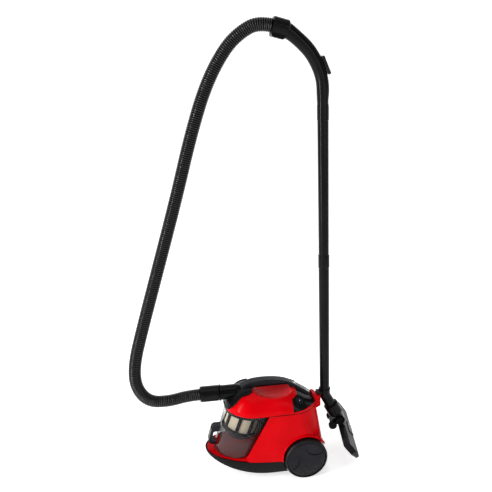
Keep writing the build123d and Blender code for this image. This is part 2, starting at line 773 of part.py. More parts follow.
def tyre(side):
    r = WHEEL_RADIUS
    rim = r - TYRE_THICK
    inner = WHEEL_WIDTH
    return wheel_turn([(rim, 2), (r - 3, 1), (r, 5), (r, inner - 5), (r - 4, inner), (rim, inner)], side)


def wheel(side):
    r = WHEEL_RADIUS - TYRE_THICK
    rim = HUB_SKIRT + 0.4
    bore = AXLE_RADIUS + RUNNING_FIT
    edge = WHEEL_WIDTH - 1
    return wheel_turn([(bore, 8), (13, 8), (13, 12), (rim, 12), (rim, 9), (r, 9), (r, edge), (rim, edge),
                       (rim, 16), (13, 16), (13, WHEEL_WIDTH), (bore, WHEEL_WIDTH)], side)


HUB_RADIUS = 65.8
HUB_SKIRT = 57.6
LENS_RADIUS = 40.0
LENS_REACH = 63.0
LENS_DEPTH = 6.0


def hub_cap(side):
    """Dished cap with a bevelled edge and three lens-shaped hollows."""
    r = HUB_RADIUS
    out = HUB_SKIRT
    cap = turned([(0, 0.5), (34, 0), (57, 1), (r - 2, 3.5), (r, 7), (r, 8.7), (out, 8.7), (out, 11.7),
                  (out - 2.5, 11.7), (out - 2.5, 4.9), (0, 4.9)])
    for k in range(3):
        lens = Cylinder(58, LENS_DEPTH) & Pos(LENS_REACH, 0, 0) * Cylinder(LENS_RADIUS, LENS_DEPTH)
        cap -= Rot(0, 0, 60 + 120 * k) * lens
    return Pos(0, side * WHEEL_OUTER_Y, WHEEL_RADIUS) * Rot(90 * side, 0, 0) * cap


def wheel_axles():
    pins = []
    for side in (-1, 1):
        inner = side * 78
        outer = side * (WHEEL_OUTER_Y - 7.5)
        head = side * (WHEEL_OUTER_Y - 5.2)
        pin = rod_y(AXLE_RADIUS, min(inner, outer), max(inner, outer), 0, WHEEL_RADIUS)
        pin += rod_y(9, min(outer, head), max(outer, head), 0, WHEEL_RADIUS)
        pins.append(pin.solids()[0])
    return Compound(pins)


def caster_fork():
    stem = rod_z(STEM_RADIUS, 30, TRAY_Z - TRAY_THICK - 5, CASTER_X, 0)
    plate = rod_z(16, CASTER_WELL_Z - 6, CASTER_WELL_Z - 1, CASTER_X, 0)
    axle_x = CASTER_X + CASTER_TRAIL
    fork = stem & block(-400, 0, -90, 90, CASTER_WELL_Z - 4, 100)
    fork += plate
    for side in (-1, 1):
        y0, y1 = (9.0, 12.0) if side > 0 else (-12.0, -9.0)
        cheek = block(CASTER_X - 8, axle_x + 8, y0, y1, CASTER_RADIUS, CASTER_WELL_Z - 1)
        cheek += rod_y(8, y0, y1, axle_x, CASTER_RADIUS)
        fork += cheek
    return fork - rod_y(3, -20, 20, axle_x, CASTER_RADIUS)


def caster_wheel():
    roll = rod_y(CASTER_RADIUS, -8, 8, CASTER_X + CASTER_TRAIL, CASTER_RADIUS)
    roll = chamfer(roll.edges().filter_by(GeomType.CIRCLE), 3)
    return roll - rod_y(3 + RUNNING_FIT, -20, 20, CASTER_X + CASTER_TRAIL, CASTER_RADIUS)


def caster_axle():
    return rod_y(3, -12, 12, CASTER_X + CASTER_TRAIL, CASTER_RADIUS)


# Hose


def hose_path():
    points = [Vector(x, 0, z) for x, z in HOSE_ROUTE]
    radii = corner_radii(points, 2 * HOSE_CREST)
    print("hose radii", [round(r) for r in radii])
    return FilletPolyline(*points, radius=radii)


def hose():
    path = hose_path()
    length = path.length
    pitch = (length - 2 * HOSE_SOCKET) / HOSE_RIBS
    rings = [ring_on(path, 0, HOSE_ROOT)]
    for k in range(HOSE_RIBS):
        start = HOSE_SOCKET + k * pitch
        for along, radius in ((0.0, HOSE_ROOT), (0.2, HOSE_CREST), (0.5, HOSE_CREST), (0.7, HOSE_ROOT)):
            rings.append(ring_on(path, (start + along * pitch) / length, radius))
    rings.append(ring_on(path, 1, HOSE_ROOT))
    solid = loft(rings, ruled=True) - sweep(ring_on(path, 0, HOSE_BORE), path=path)
    mean_square = HOSE_ROOT ** 2 + (HOSE_CREST ** 2 - HOSE_ROOT ** 2) * 0.5
    print("hose length", round(length), "volume", round(solid.volume),
          "section times length", round(math.pi * (mean_square - HOSE_BORE ** 2) * length))
    return solid


def inlet_cuff():
    x0 = HOSE_ROUTE[0][0]
    cuff = rod_x(CUFF_RADIUS, x0 - HOSE_SOCKET + 1, INLET_FRONT_X - 0.5, 0, INLET_Z)
    cuff = chamfer(cuff.edges().filter_by(GeomType.CIRCLE), 3)
    cuff -= rod_x(HOSE_ROOT + 0.3, x0 - HOSE_SOCKET - 5, x0 + 0.3, 0, INLET_Z)
    cuff += rod_x(INLET_BORE - RUNNING_FIT, INLET_FRONT_X - 2, INLET_FRONT_X + 36, 0, INLET_Z)
    return cuff - rod_x(HOSE_BORE, x0 - 5, -200, 0, INLET_Z)


# Wand


def wand_tube(start, length):
    foot = start - PLUG_LENGTH
    sleeve = start + length - SLEEVE_LENGTH
    top = start + length
    return WAND.location * turned([
        (TUBE_BORE, foot), (PLUG_RADIUS - PLUG_TAPER, foot), (PLUG_RADIUS, start),
        (TUBE_FOOT_RADIUS, start), (TUBE_HEAD_RADIUS, sleeve - 2), (SLEEVE_RADIUS, sleeve),
        (SLEEVE_RADIUS, top), (PLUG_RADIUS, top), (PLUG_RADIUS, top - PLUG_LENGTH - 1),
        (TUBE_BORE, top - PLUG_LENGTH - 1),
    ])


def grip_path(below=0.0):
    """Up the wand's axis, from this far below the wand's top, and over in one long bow."""
    foot = WAND.from_local_coords(Vector(0, 0, WAND_LENGTH - below))
    knee = WAND.from_local_coords(Vector(0, 0, WAND_LENGTH + GRIP_RISE))
    bends = [Vector(x, 0, z) for x, z in GRIP_BENDS]
    radii = corner_radii([WAND.from_local_coords(Vector(0, 0, WAND_LENGTH)), knee, *bends])
    return FilletPolyline(foot, knee, *bends, radius=radii)


def grip_radius(share):
    return GRIP_FOOT_RADIUS + (GRIP_END_RADIUS - GRIP_FOOT_RADIUS) * min(1.0, share / 0.8)


def grip_form():
    path = grip_path()
    return loft([ring_on(path, k / 8, grip_radius(k / 8)) for k in range(9)])


def grip_tube():
    plug = turned([(0, -PLUG_LENGTH), (PLUG_RADIUS - PLUG_TAPER, -PLUG_LENGTH), (PLUG_RADIUS, 0),
                   (PLUG_RADIUS, 1), (0, 1)])
    tube = grip_form() + WAND.location * (Pos(0, 0, WAND_LENGTH) * plug)
    path = grip_path(PLUG_LENGTH + 1)
    return tube - sweep(ring_on(path, 0, TUBE_BORE), path=path)


SLIDER_SHARE = 0.42
SLIDER_LENGTH = 56.0
SLIDER_HALF = 12.0
SLIDER_HIGH = 8.0


def slider_plane():
    """On the outside of the grip's bend, along the tube."""
    path = grip_path()
    along = path % SLIDER_SHARE
    out = Vector(along.Z, 0, -along.X)
    return Plane(origin=path @ SLIDER_SHARE, x_dir=along, z_dir=out)


def suction_slider():
    radius = grip_radius(SLIDER_SHARE)
    high = radius + SLIDER_HIGH
    half = SLIDER_LENGTH / 2
    body = block(-half, half, -SLIDER_HALF, SLIDER_HALF, radius - 8, high)
    body = fillet(body.edges().group_by(Axis.Z)[-1], 4)
    for k in range(5):
        body -= block(-14 + 6 * k, -11 + 6 * k, -SLIDER_HALF, SLIDER_HALF, high - 1.2, high + 1)
    body -= Rot(0, 90, 0) * Cylinder(radius + 1.4, 200)
    return slider_plane().location * body


GRIP_CUFF_LENGTH = 50.0


def grip_cuff():
    """Block that joins the hose to the grip, its axis the hose's last run."""
    end = Vector(HOSE_ROUTE[-1][0], 0, HOSE_ROUTE[-1][1])
    before = Vector(HOSE_ROUTE[-2][0], 0, HOSE_ROUTE[-2][1])
    along = (end - before).normalized()
    place = Plane(origin=end, x_dir=along, z_dir=Vector(-along.Z, 0, along.X)).location
    front = GRIP_CUFF_LENGTH - HOSE_SOCKET
    body = rod_x(CUFF_RADIUS, -HOSE_SOCKET + 1, front, 0, 0)
    body = chamfer(body.edges().filter_by(GeomType.CIRCLE), 3)
    boss = block(-HOSE_SOCKET + 4, front - 6, -17, 17, -31, -8)
    body += chamfer(boss.edges().filter_by(Axis.Y), 4)
    body -= rod_x(HOSE_ROOT + 0.3, -HOSE_SOCKET - 5, 0.3, 0, 0)
    body -= rod_x(HOSE_BORE, -5, front - 4, 0, 0)
    return place * body - grip_form()


def neck_path():
    foot = Vector(WAND_X, 0, WAND_Z)
    return FilletPolyline(foot, NECK_BEND, SWIVEL.origin, radius=48)


def neck_elbow():
    path = neck_path()
    tube = sweep(ring_on(path, 0, NECK_RADIUS), path=path)
    collar = Pos(0, 0, -15) * Cylinder(SLEEVE_RADIUS + 0.7, 30)
    flange = Pos(0, 0, -2) * Cylinder(SLEEVE_RADIUS + 1.7, 4)
    tube += WAND.location * (collar + flange)
    spigot = Pos(0, 0, SPIGOT_LENGTH / 2 - 1) * Cylinder(SPIGOT_RADIUS, SPIGOT_LENGTH + 2)
    tube += SWIVEL.location * spigot
    tube -= sweep(ring_on(path, 0, NECK_BORE), path=path)
    tube -= SWIVEL.location * Cylinder(NECK_BORE, 3 * SPIGOT_LENGTH)
    socket = Pos(0, 0, (1 - PLUG_LENGTH) / 2) * Cylinder(PLUG_RADIUS, PLUG_LENGTH + 1.6)
    return tube - WAND.location * socket


def knuckle_rod(radius, half, u, w):
    """A rod across the head, in the head's frame."""
    return rod_y(radius, -half, half, u, w)


def neck_knuckle():
    """Turns on the elbow's spigot, carries the hinge barrel and, on an arm under it, the rollers."""
    reach = SWIVEL_REACH - COLLAR_END
    collar = Pos(0, 0, reach / 2 + 0.3) * Cylinder(COLLAR_RADIUS, reach)
    collar = SWIVEL.location * chamfer(collar.edges().filter_by(GeomType.CIRCLE), 4)
    stem = Pos(0, 0, SWIVEL_REACH / 2 + 4) * Cylinder(BARREL_HALF - 2, SWIVEL_REACH - 8)
    collar += SWIVEL.location * stem
    barrel = knuckle_rod(BARREL_RADIUS, BARREL_HALF, PIVOT_U, PIVOT_W)
    side = [(PIVOT_U + 12, PIVOT_W - 6), (PIVOT_U - 18, PIVOT_W), (ROLLER_U - 7, ROLLER_W - 3),
            (ROLLER_U + 3, ROLLER_W - 7)]
    arm = side_prism(side, BARREL_HALF - 1) + knuckle_rod(8, BARREL_HALF - 1, ROLLER_U, ROLLER_W)
    body = collar + HEAD.location * (barrel + arm)
    socket = Pos(0, 0, SPIGOT_LENGTH / 2) * Cylinder(SPIGOT_RADIUS + RUNNING_FIT, SPIGOT_LENGTH + 0.6)
    duct = Pos(0, 0, SWIVEL_REACH / 2) * Cylinder(NECK_BORE, SWIVEL_REACH - 8)
    body -= SWIVEL.location * socket
    body -= SWIVEL.location * duct
    body -= HEAD.location * knuckle_rod(4 + RUNNING_FIT, 60, PIVOT_U, PIVOT_W)
    return body - HEAD.location * knuckle_rod(ROLLER_PIN, 60, ROLLER_U, ROLLER_W)


def park_hook():
    blade = block(HOOK_FAR, HOOK_NEAR, -HOOK_HALF, HOOK_HALF, HOOK_FOOT, HOOK_TOP)
    arm = block(HOOK_FAR, -10, -HOOK_HALF, HOOK_HALF, HOOK_TOP - 10, HOOK_TOP)
    hook = fillet((blade + arm).edges().filter_by(Axis.Y).group_by(Axis.X)[0], 2)
    return WAND.location * (hook - Pos(0, 0, -15) * Cylinder(SLEEVE_RADIUS + 0.7, 60))


# Floor head, in its own frame: U to the front edge, W up from the sole

PEDAL_U = (28.0, 52.0)
PEDAL_HALF = 30.0
PEDAL_GAP = 1.2
PEDAL_AXIS_U = 40.0
PEDAL_AXIS_W = 15.0
BRUSH_U = (64.0, 70.0)
BRUSH_HALF = 104.0
CORNER_U = 42.0
CORNER_Y = 22.0
MOUTH_U = (32.0, 50.0)
MOUTH_HALF = 110.0
ROLLER_PIN = 2.0
HINGE_PIN = 4.0
EAR = 7.0
EAR_RADIUS = 12.0


def both_sides(inner, outer):
    """The two stretches of Y, left and right, between these distances from the middle."""
    return [(-outer, -inner), (inner, outer)]


def head_plan(inset, low, high):
    """The head from above, its front corners cut off."""
    half = HEAD_WIDTH / 2 - inset
    u0 = inset
    u1 = HEAD_DEPTH - inset
    face = make_face(Polyline((u0, -half), (CORNER_U, -half), (u1, CORNER_Y - half), (u1, half - CORNER_Y),
                              (CORNER_U, half), (u0, half), close=True))
    return extrude(Pos(0, 0, low) * face, amount=high - low)


def head_profile(inset):
    u0 = inset
    u1 = HEAD_DEPTH - inset
    top = HEAD_THICK - inset
    side = side_prism([(u0, SOLE_THICK), (u0, top - 7), (u0 + 6, top), (54, top - 0.5),
                       (u1 - 8, top - 8), (u1, 11 - inset * 0.5), (u1, SOLE_THICK)])
    return side & head_plan(inset, SOLE_THICK, HEAD_THICK)


def head_top_shell():
    shell = head_profile(0) - head_profile(2.5)
    for y0, y1 in both_sides(BARREL_HALF + 0.6, BARREL_HALF + EAR):
        shell += rod_y(EAR_RADIUS, y0, y1, PIVOT_U, PIVOT_W)
        shell += block(PIVOT_U, 12, y0, y1, PIVOT_W - 12, HEAD_THICK)
    for y0, y1 in both_sides(PEDAL_HALF + 0.5, PEDAL_HALF + 5):
        shell += block(PEDAL_AXIS_U - 6, PEDAL_AXIS_U + 6, y0, y1, PEDAL_AXIS_W - 6, HEAD_THICK - 1)
    shell -= block(PEDAL_U[0] - PEDAL_GAP, PEDAL_U[1] + PEDAL_GAP, -PEDAL_HALF - 0.5, PEDAL_HALF + 0.5,
                   SOLE_THICK + 3, 60)
    shell -= rod_y(2.5 + RUNNING_FIT, -PEDAL_HALF - 4, PEDAL_HALF + 4, PEDAL_AXIS_U, PEDAL_AXIS_W)
    return HEAD.location * (shell - rod_y(HINGE_PIN, -60, 60, PIVOT_U, PIVOT_W))


def head_sole_plate():
    plate = head_plan(0, 0, SOLE_THICK)
    plate -= block(*MOUTH_U, -MOUTH_HALF, MOUTH_HALF, -1, SOLE_THICK + 1)
    slot = BRUSH_HALF + 0.5
    plate -= block(BRUSH_U[0] - 0.5, BRUSH_U[1] + 0.5, -slot, slot, -1, SOLE_THICK + 1)
    return HEAD.location * plate


def head_pedal():
    u0, u1 = PEDAL_U
    paddle = block(u0, u1, -PEDAL_HALF, PEDAL_HALF, HEAD_THICK - 4, HEAD_THICK + 2.5)
    paddle = fillet(paddle.edges().group_by(Axis.Z)[-1], 2)
    axis_u = PEDAL_AXIS_U
    web = block(axis_u - 4, axis_u + 4, -PEDAL_HALF, PEDAL_HALF, PEDAL_AXIS_W - 3, HEAD_THICK - 3)
    pins = rod_y(2.5, -PEDAL_HALF - 3.5, PEDAL_HALF + 3.5, axis_u, PEDAL_AXIS_W)
    return HEAD.location * (paddle + web + pins)


def brush_strip():
    return HEAD.location * block(*BRUSH_U, -BRUSH_HALF, BRUSH_HALF, 0.5, 11)


def head_roller(side):
    y0 = side * ROLLER_Y - ROLLER_WIDTH / 2
    roll = rod_y(ROLLER_RADIUS, y0, y0 + ROLLER_WIDTH, ROLLER_U, ROLLER_W)
    roll = chamfer(roll.edges().filter_by(GeomType.CIRCLE), 2)
    return HEAD.location * (roll - rod_y(ROLLER_PIN + RUNNING_FIT, -60, 60, ROLLER_U, ROLLER_W))


def head_pins(radius, u, w, inner, outer):
    pins = [rod_y(radius, y0, y1, u, w) for y0, y1 in both_sides(inner, outer)]
    return Compound([(HEAD.location * pin).solids()[0] for pin in pins])


PIECES = {
    "base_chassis": base_chassis,
    "main_housing": main_housing,
    "exhaust_grille": exhaust_grille,
    "cord_outlet": cord_outlet,
    "park_socket": park_socket,
    "top_cover": top_cover,
    "nose_frame": nose_frame,
    "hose_inlet": hose_inlet,
    "carry_handle": carry_handle,
    "handle_liner": handle_liner,
    "handle_trim": handle_trim,
    "right_side_panel": lambda: side_panel(-1),
    "left_side_panel": lambda: side_panel(1),
    "power_button": lambda: push_button(-1),
    "rewind_button": lambda: push_button(1),
    "power_switch": power_switch,
    "dust_cup": dust_cup,
    "cup_cap": cup_cap,
    "cup_seal": cup_seal,
    "cup_handle": cup_handle,
    "cup_release_button": cup_release_button,
    "filter_frame": filter_frame,
    "filter_media": filter_media,
    "cyclone_cone": cyclone_cone,
    "motor_housing": motor_housing,
    "motor_rotor": motor_rotor,
    "motor_mount": motor_mount,
    "pre_motor_filter": pre_motor_filter,
    "exhaust_filter": exhaust_filter,
    "reel_drum": reel_drum,
    "reel_spindle": reel_spindle,
    "housing_screws": housing_screws,
    "right_tyre": lambda: tyre(-1),
    "left_tyre": lambda: tyre(1),
    "right_wheel": lambda: wheel(-1),
    "left_wheel": lambda: wheel(1),
    "right_hub_cap": lambda: hub_cap(-1),
    "left_hub_cap": lambda: hub_cap(1),
    "wheel_axles": wheel_axles,
    "caster_fork": caster_fork,
    "caster_wheel": caster_wheel,
    "caster_axle": caster_axle,
    "hose": hose,
    "inlet_cuff": inlet_cuff,
    "grip_cuff": grip_cuff,
    "grip_tube": grip_tube,
    "suction_slider": suction_slider,
    "upper_tube": lambda: wand_tube(LOWER_LENGTH, UPPER_LENGTH),
    "lower_tube": lambda: wand_tube(0, LOWER_LENGTH),
    "neck_elbow": neck_elbow,
    "neck_knuckle": neck_knuckle,
    "park_hook": park_hook,
    "head_top_shell": head_top_shell,
    "head_sole_plate": head_sole_plate,
    "head_pedal": head_pedal,
    "brush_strip": brush_strip,
    "right_roller": lambda: head_roller(-1),
    "left_roller": lambda: head_roller(1),
    "roller_axles": lambda: head_pins(ROLLER_PIN, ROLLER_U, ROLLER_W, 8, ROLLER_Y + ROLLER_WIDTH / 2 + 1),
    "hinge_pins": lambda: head_pins(HINGE_PIN, PIVOT_U, PIVOT_W, BARREL_HALF - 8, BARREL_HALF + EAR),
}


def main():
    os.makedirs("parts", exist_ok=True)
    for name, make in PIECES.items():
        export_step(make(), f"parts/{name}.step")


if __name__ == "__main__":
    main()
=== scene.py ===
# %% [markdown]
# # A canister vacuum cleaner, dressed over its CAD frame
# The CAD model already holds the rigid shapes: the red shell, the clear cup, the wheels, the wand and
# the floor head. Blender adds what CAD is poor at: the finely ribbed hose, small trim, and finishes that
# look moulded, rubbed and dusty. The frame is loaded first and is never moved, so every new piece is
# worked out in the same metres as the CAD.

import json
import math

import bpy
import numpy as np
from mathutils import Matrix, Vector
from mathutils.bvhtree import BVHTree


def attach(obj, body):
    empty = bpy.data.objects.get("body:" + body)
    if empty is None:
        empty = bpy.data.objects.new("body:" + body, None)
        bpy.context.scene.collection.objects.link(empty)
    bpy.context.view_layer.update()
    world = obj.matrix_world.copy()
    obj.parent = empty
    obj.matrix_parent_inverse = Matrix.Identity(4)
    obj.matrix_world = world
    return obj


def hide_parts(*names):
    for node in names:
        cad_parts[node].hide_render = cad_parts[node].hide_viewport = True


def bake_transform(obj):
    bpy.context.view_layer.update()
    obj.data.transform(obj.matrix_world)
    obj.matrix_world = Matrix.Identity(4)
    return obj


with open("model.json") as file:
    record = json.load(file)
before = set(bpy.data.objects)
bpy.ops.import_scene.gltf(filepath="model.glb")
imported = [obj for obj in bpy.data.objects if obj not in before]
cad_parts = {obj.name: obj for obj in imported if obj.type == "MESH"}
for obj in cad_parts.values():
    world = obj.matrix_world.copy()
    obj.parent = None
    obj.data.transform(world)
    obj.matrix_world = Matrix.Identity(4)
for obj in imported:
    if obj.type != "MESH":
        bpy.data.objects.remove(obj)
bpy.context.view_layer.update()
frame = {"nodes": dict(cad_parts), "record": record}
scene = bpy.context.scene
nodes = frame["nodes"]
slot_of = {row["node"]: row["material_slot"] for row in frame["record"]["subparts"]}

# %% [markdown]
# ## Camera
# The photograph looks slightly down at the right side of the cleaner. Its place and lens were found by
# fitting known points of the object, so they are plain numbers here. A lens in millimetres follows from
# a focal length in pixels: lens = sensor width x focal pixels / image width.

# %% Camera
IMAGE_WIDTH = 492
FOCAL_PIXELS = 657.09
SENSOR_WIDTH = 36.0
CAMERA_PLACE = (-0.5381, -1.9030, 1.4147)
CAMERA_DIP = 17.97
CAMERA_TURN = -10.59

lens = bpy.data.cameras.new("studio_camera")
lens.sensor_width = SENSOR_WIDTH
lens.lens = lens.sensor_width * FOCAL_PIXELS / IMAGE_WIDTH
camera = bpy.data.objects.new("studio_camera", lens)
camera.location = CAMERA_PLACE
camera.rotation_euler = (math.radians(90 - CAMERA_DIP), 0, math.radians(CAMERA_TURN))
scene.collection.objects.link(camera)
scene.camera = camera
print("lens", round(lens.lens, 2), "mm")

# %% [markdown]
# ## Hose
# The hose is one length of soft ribbed tube. It leaves the cuff on the canister, sags, climbs in a long
# straight stretch and bows over into the grip. Its middle line is a NURBS spline whose control points
# are the CAD route's points, so it stays on the solid that it stands for. The skin is a circle carried
# along that line, and its radius swells and shrinks once for every rib.

# %% Helpers that turn arrays into meshes
HEADING_REACH = 0.004


def add_piece(name, points, faces, caps=()):
    """A mesh object at the origin from arrays of points and faces, with any faces that close its ends."""
    mesh = bpy.data.meshes.new(name)
    corners = faces.tolist() + [list(map(int, cap)) for cap in caps]
    mesh.from_pydata(points.reshape(-1, 3).tolist(), [], corners)
    mesh.polygons.foreach_set("use_smooth", np.full(len(mesh.polygons), True))
    mesh.update()
    piece = bpy.data.objects.new(name, mesh)
    scene.collection.objects.link(piece)
    return piece


def grid_faces(rows, columns, wrap_rows=False, wrap_columns=False):
    """Four-cornered faces between the neighbours of a grid of points, closed round where it wraps."""
    along = np.arange(rows - (not wrap_rows))
    across = np.arange(columns - (not wrap_columns))
    i, j = np.meshgrid(along, across, indexing="ij")
    ahead = (i + 1) % rows
    beside = (j + 1) % columns
    corners = [i * columns + j, i * columns + beside, ahead * columns + beside, ahead * columns + j]
    return np.stack(corners, axis=-1).reshape(-1, 4)


def end_caps(rows, columns, first=0):
    """The two faces that close the first and the last ring of a tube of points."""
    ring = first + np.arange(columns)
    return [ring[::-1], ring + (rows - 1) * columns]


def along_line(line, stations):
    """Points at these distances along a line of points, and the line's direction there."""
    steps = np.linalg.norm(np.diff(line, axis=0), axis=1)
    far = np.concatenate([[0.0], np.cumsum(steps)])

    def at(where):
        return np.stack([np.interp(where, far, line[:, k]) for k in range(3)], axis=1)

    after = at(np.minimum(stations + HEADING_REACH, far[-1]))
    before = at(np.maximum(stations - HEADING_REACH, 0))
    heading = after - before
    return at(stations), heading / np.linalg.norm(heading, axis=1, keepdims=True)


def carried_circle(centres, headings, radii, sides):
    """A circle round each centre, square to the heading: centre + radius x (cos a n + sin a y)."""
    across = np.array([0.0, 1.0, 0.0])
    normal = np.cross(across, headings)
    angle = np.linspace(0, 2 * np.pi, sides, endpoint=False)
    ring = np.cos(angle)[None, :, None] * normal[:, None, :] + np.sin(angle)[None, :, None] * across
    return centres[:, None, :] + radii[:, None, None] * ring


print("helpers ready")

# %% Hose line
HOSE_ROUTE = np.array([
    (-0.312, 0.282), (-0.375, 0.282), (-0.437, 0.268), (-0.504, 0.273), (-0.543, 0.330), (-0.544, 0.412),
    (-0.513, 0.530), (-0.452, 0.742), (-0.392, 0.952), (-0.346, 1.130), (-0.300, 1.272), (-0.246, 1.370),
    (-0.199, 1.417), (-0.143, 1.445), (-0.085, 1.430),
])
HOSE_CREST = 0.0200
HOSE_ROOT = 0.0180
HOSE_BORE = 0.0160
HOSE_SOCKET = 0.026
HOSE_RIBS = 236
HOSE_SIDES = 36
BORE_RINGS = 160
SPLINE_STEPS = 40


def spline_line(name, route):
    """The line that an order 3 NURBS spline draws from control points in X and Z, as points."""
    curve = bpy.data.curves.new(name, "CURVE")
    curve.dimensions = "3D"
    curve.resolution_u = SPLINE_STEPS
    spline = curve.splines.new("NURBS")
    spline.points.add(len(route) - 1)
    control = np.stack([route[:, 0], np.zeros(len(route)), route[:, 1], np.ones(len(route))], axis=1)
    spline.points.foreach_set("co", control.ravel())
    spline.order_u = 3
    spline.use_endpoint_u = True
    guide = bpy.data.objects.new(name, curve)
    drawn = bpy.data.meshes.new_from_object(guide)
    line = np.empty(len(drawn.vertices) * 3)
    drawn.vertices.foreach_get("co", line)
    bpy.data.objects.remove(guide)
    bpy.data.meshes.remove(drawn)
    return line.reshape(-1, 3)


hose_line = spline_line("hose_route", HOSE_ROUTE)
hose_length = float(np.linalg.norm(np.diff(hose_line, axis=0), axis=1).sum())
print("hose line", len(hose_line), "points", round(hose_length, 3), "m")

# %% Hose skin
RIB_PROFILE = np.array([(0.00, 0.0), (0.16, 0.55), (0.30, 1.0), (0.52, 1.0), (0.66, 0.55), (0.82, 0.0)])


def ribbed_hose():
    """Each rib is six circles of radius root + share x (crest - root); the bore runs back inside."""
    pitch = (hose_length - 2 * HOSE_SOCKET) / HOSE_RIBS
    starts = HOSE_SOCKET + np.arange(HOSE_RIBS) * pitch
    outside = (starts[:, None] + RIB_PROFILE[:, 0] * pitch).ravel()
    swell = np.tile(RIB_PROFILE[:, 1], HOSE_RIBS)
    inside = np.linspace(hose_length, 0, BORE_RINGS)
    stations = np.concatenate([[0.0], outside, [hose_length], inside])
    crest = np.concatenate([[0.0], swell, [0.0], np.zeros(len(inside))])
    radii = HOSE_ROOT + crest * (HOSE_CREST - HOSE_ROOT)
    radii[-len(inside):] = HOSE_BORE
    centres, headings = along_line(hose_line, stations)
    skin = carried_circle(centres, headings, radii, HOSE_SIDES)
    faces = grid_faces(len(stations), HOSE_SIDES, wrap_rows=True, wrap_columns=True)
    piece = add_piece("ribbed_hose", skin, faces)
    mark = piece.data.attributes.new("crest", "FLOAT", "POINT")
    mark.data.foreach_set("value", np.repeat(crest, HOSE_SIDES).astype(np.float32))
    return piece


hose = ribbed_hose()
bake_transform(hose)
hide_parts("hose")
print("hose", len(hose.data.polygons), "faces,", HOSE_RIBS, "ribs")

# %% [markdown]
# ## Trim on the lid
# A black moulding edges the front of the lid, where the red shell meets the hose socket's surround, and a
# thin gasket shows in the seam between lid and body. Both are beads: a small circle carried along a line.
# The gasket's line is the lid's plan, which is known. The moulding's line is read off the CAD surface, by
# rays shot at it from outside, so that the bead sits on the shell from every side.

# %% Beads
def bead(name, line, radius, sides=12):
    """A circle carried along a line, square to it: line + radius x (cos a beside + sin a above)."""
    ahead = np.gradient(line, axis=0)
    ahead /= np.linalg.norm(ahead, axis=1, keepdims=True)
    beside = np.cross(ahead, [0.0, 0.0, 1.0])
    beside /= np.linalg.norm(beside, axis=1, keepdims=True)
    above = np.cross(ahead, beside)
    angle = np.linspace(0, 2 * np.pi, sides, endpoint=False)[None, :, None]
    ring = np.cos(angle) * beside[:, None, :] + np.sin(angle) * above[:, None, :]
    skin = line[:, None, :] + radius * ring
    faces = grid_faces(len(line), sides, wrap_columns=True)
    return add_piece(name, skin, faces, end_caps(len(line), sides))


def surface_of(*names):
    """A tree of the named CAD nodes' triangles, for rays to hit."""
    points, faces = [], []
    for name in names:
        mesh = nodes[name].data
        start = len(points)
        points += [v.co.copy() for v in mesh.vertices]
        faces += [[start + i for i in face.vertices] for face in mesh.polygons]
    return BVHTree.FromPolygons(points, faces)


def hits(tree, starts, headings):
    """Where rays first meet the tree's triangles; rays that miss are left out."""
    found = [tree.ray_cast(Vector(s), Vector(h))[0] for s, h in zip(starts, headings)]
    return np.array([tuple(p) for p in found if p is not None])


print("beads ready")

# %% Lid moulding and gasket
EDGE_FOOT = np.array([-0.259, 0.0, 0.231])
EDGE_BEND = np.array([-0.209, 0.0, 0.286])
EDGE_END = np.array([-0.172, 0.0, 0.2974])
RAY_START = 0.3
FAN_HALF = 74
FAN_RAYS = 49
FAN_DROP = 0.012
FRONT_SPREAD = 0.03
EDGE_RAYS = 10
LID_HALF = 0.097
LID_TAIL = 0.052
LID_CORNER = (0.092, 0.088)
CORNER_STEPS = 30
LID_SEAM = 0.232
BAY_EDGE = -0.122
FLANK_MIDDLE = -0.08
MOULDING_RADIUS = 0.0034
GASKET_RADIUS = 0.0011
FLIP_SIDE = np.array([1.0, -1.0, 1.0])


def moulding_line():
    """A fan of rays in the slanting plane of the front edge, then rays across it along the upper edge."""
    shell = surface_of("nose_frame", "top_cover")
    across = np.array([0.0, 1.0, 0.0])
    slope = (EDGE_BEND - EDGE_FOOT) / np.linalg.norm(EDGE_BEND - EDGE_FOOT)
    middle = EDGE_BEND - FAN_DROP * slope
    fan = np.radians(np.linspace(-FAN_HALF, FAN_HALF, FAN_RAYS))[:, None]
    outward = -np.cos(fan) * slope + np.sin(fan) * across
    front = hits(shell, middle + RAY_START * outward, -outward)
    share = np.linspace(0, 1, EDGE_RAYS)[:, None]
    along = EDGE_END + share * (EDGE_BEND - EDGE_END)
    right = hits(shell, along - RAY_START * across, np.tile(across, (EDGE_RAYS, 1)))
    left = right[::-1] * FLIP_SIDE
    front = front[np.abs(front[:, 1]) < np.abs(right[-1, 1]) + FRONT_SPREAD]
    return np.concatenate([right[:-1], front, left[1:]])


def gasket_line():
    """The lid's plan behind the cup's bay: straight flanks and two quarter ellipses round the tail."""
    long, wide = LID_CORNER
    turn = np.linspace(np.pi / 2, 0, CORNER_STEPS)
    x = np.concatenate([[BAY_EDGE, FLANK_MIDDLE], LID_TAIL - long + long * np.cos(turn)])
    y = np.concatenate([[LID_HALF, LID_HALF], LID_HALF - wide + wide * np.sin(turn)])
    left = np.stack([x, y, np.full(len(x), LID_SEAM)], axis=1)
    return np.concatenate([left, left[::-1] * FLIP_SIDE])


lid_moulding = bead("lid_moulding", moulding_line(), MOULDING_RADIUS)
lid_gasket = bead("lid_gasket", gasket_line(), GASKET_RADIUS, sides=8)
for trim in (lid_moulding, lid_gasket):
    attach(trim, "canister")
print("lid trim", [len(trim.data.polygons) for trim in (lid_moulding, lid_gasket)], "faces")

# %% [markdown]
# ## Brush strip and button lamp
# The CAD has a plain bar where the floor head's brush strip slides. The real one is a moulded back with two
# rows of nylon tufts. Each strand is a thin four-sided taper, so a thousand of them stay light. Its lean is
# drawn from a seeded generator, which gives the same strip every time. The power button carries a small
# lens in its middle.

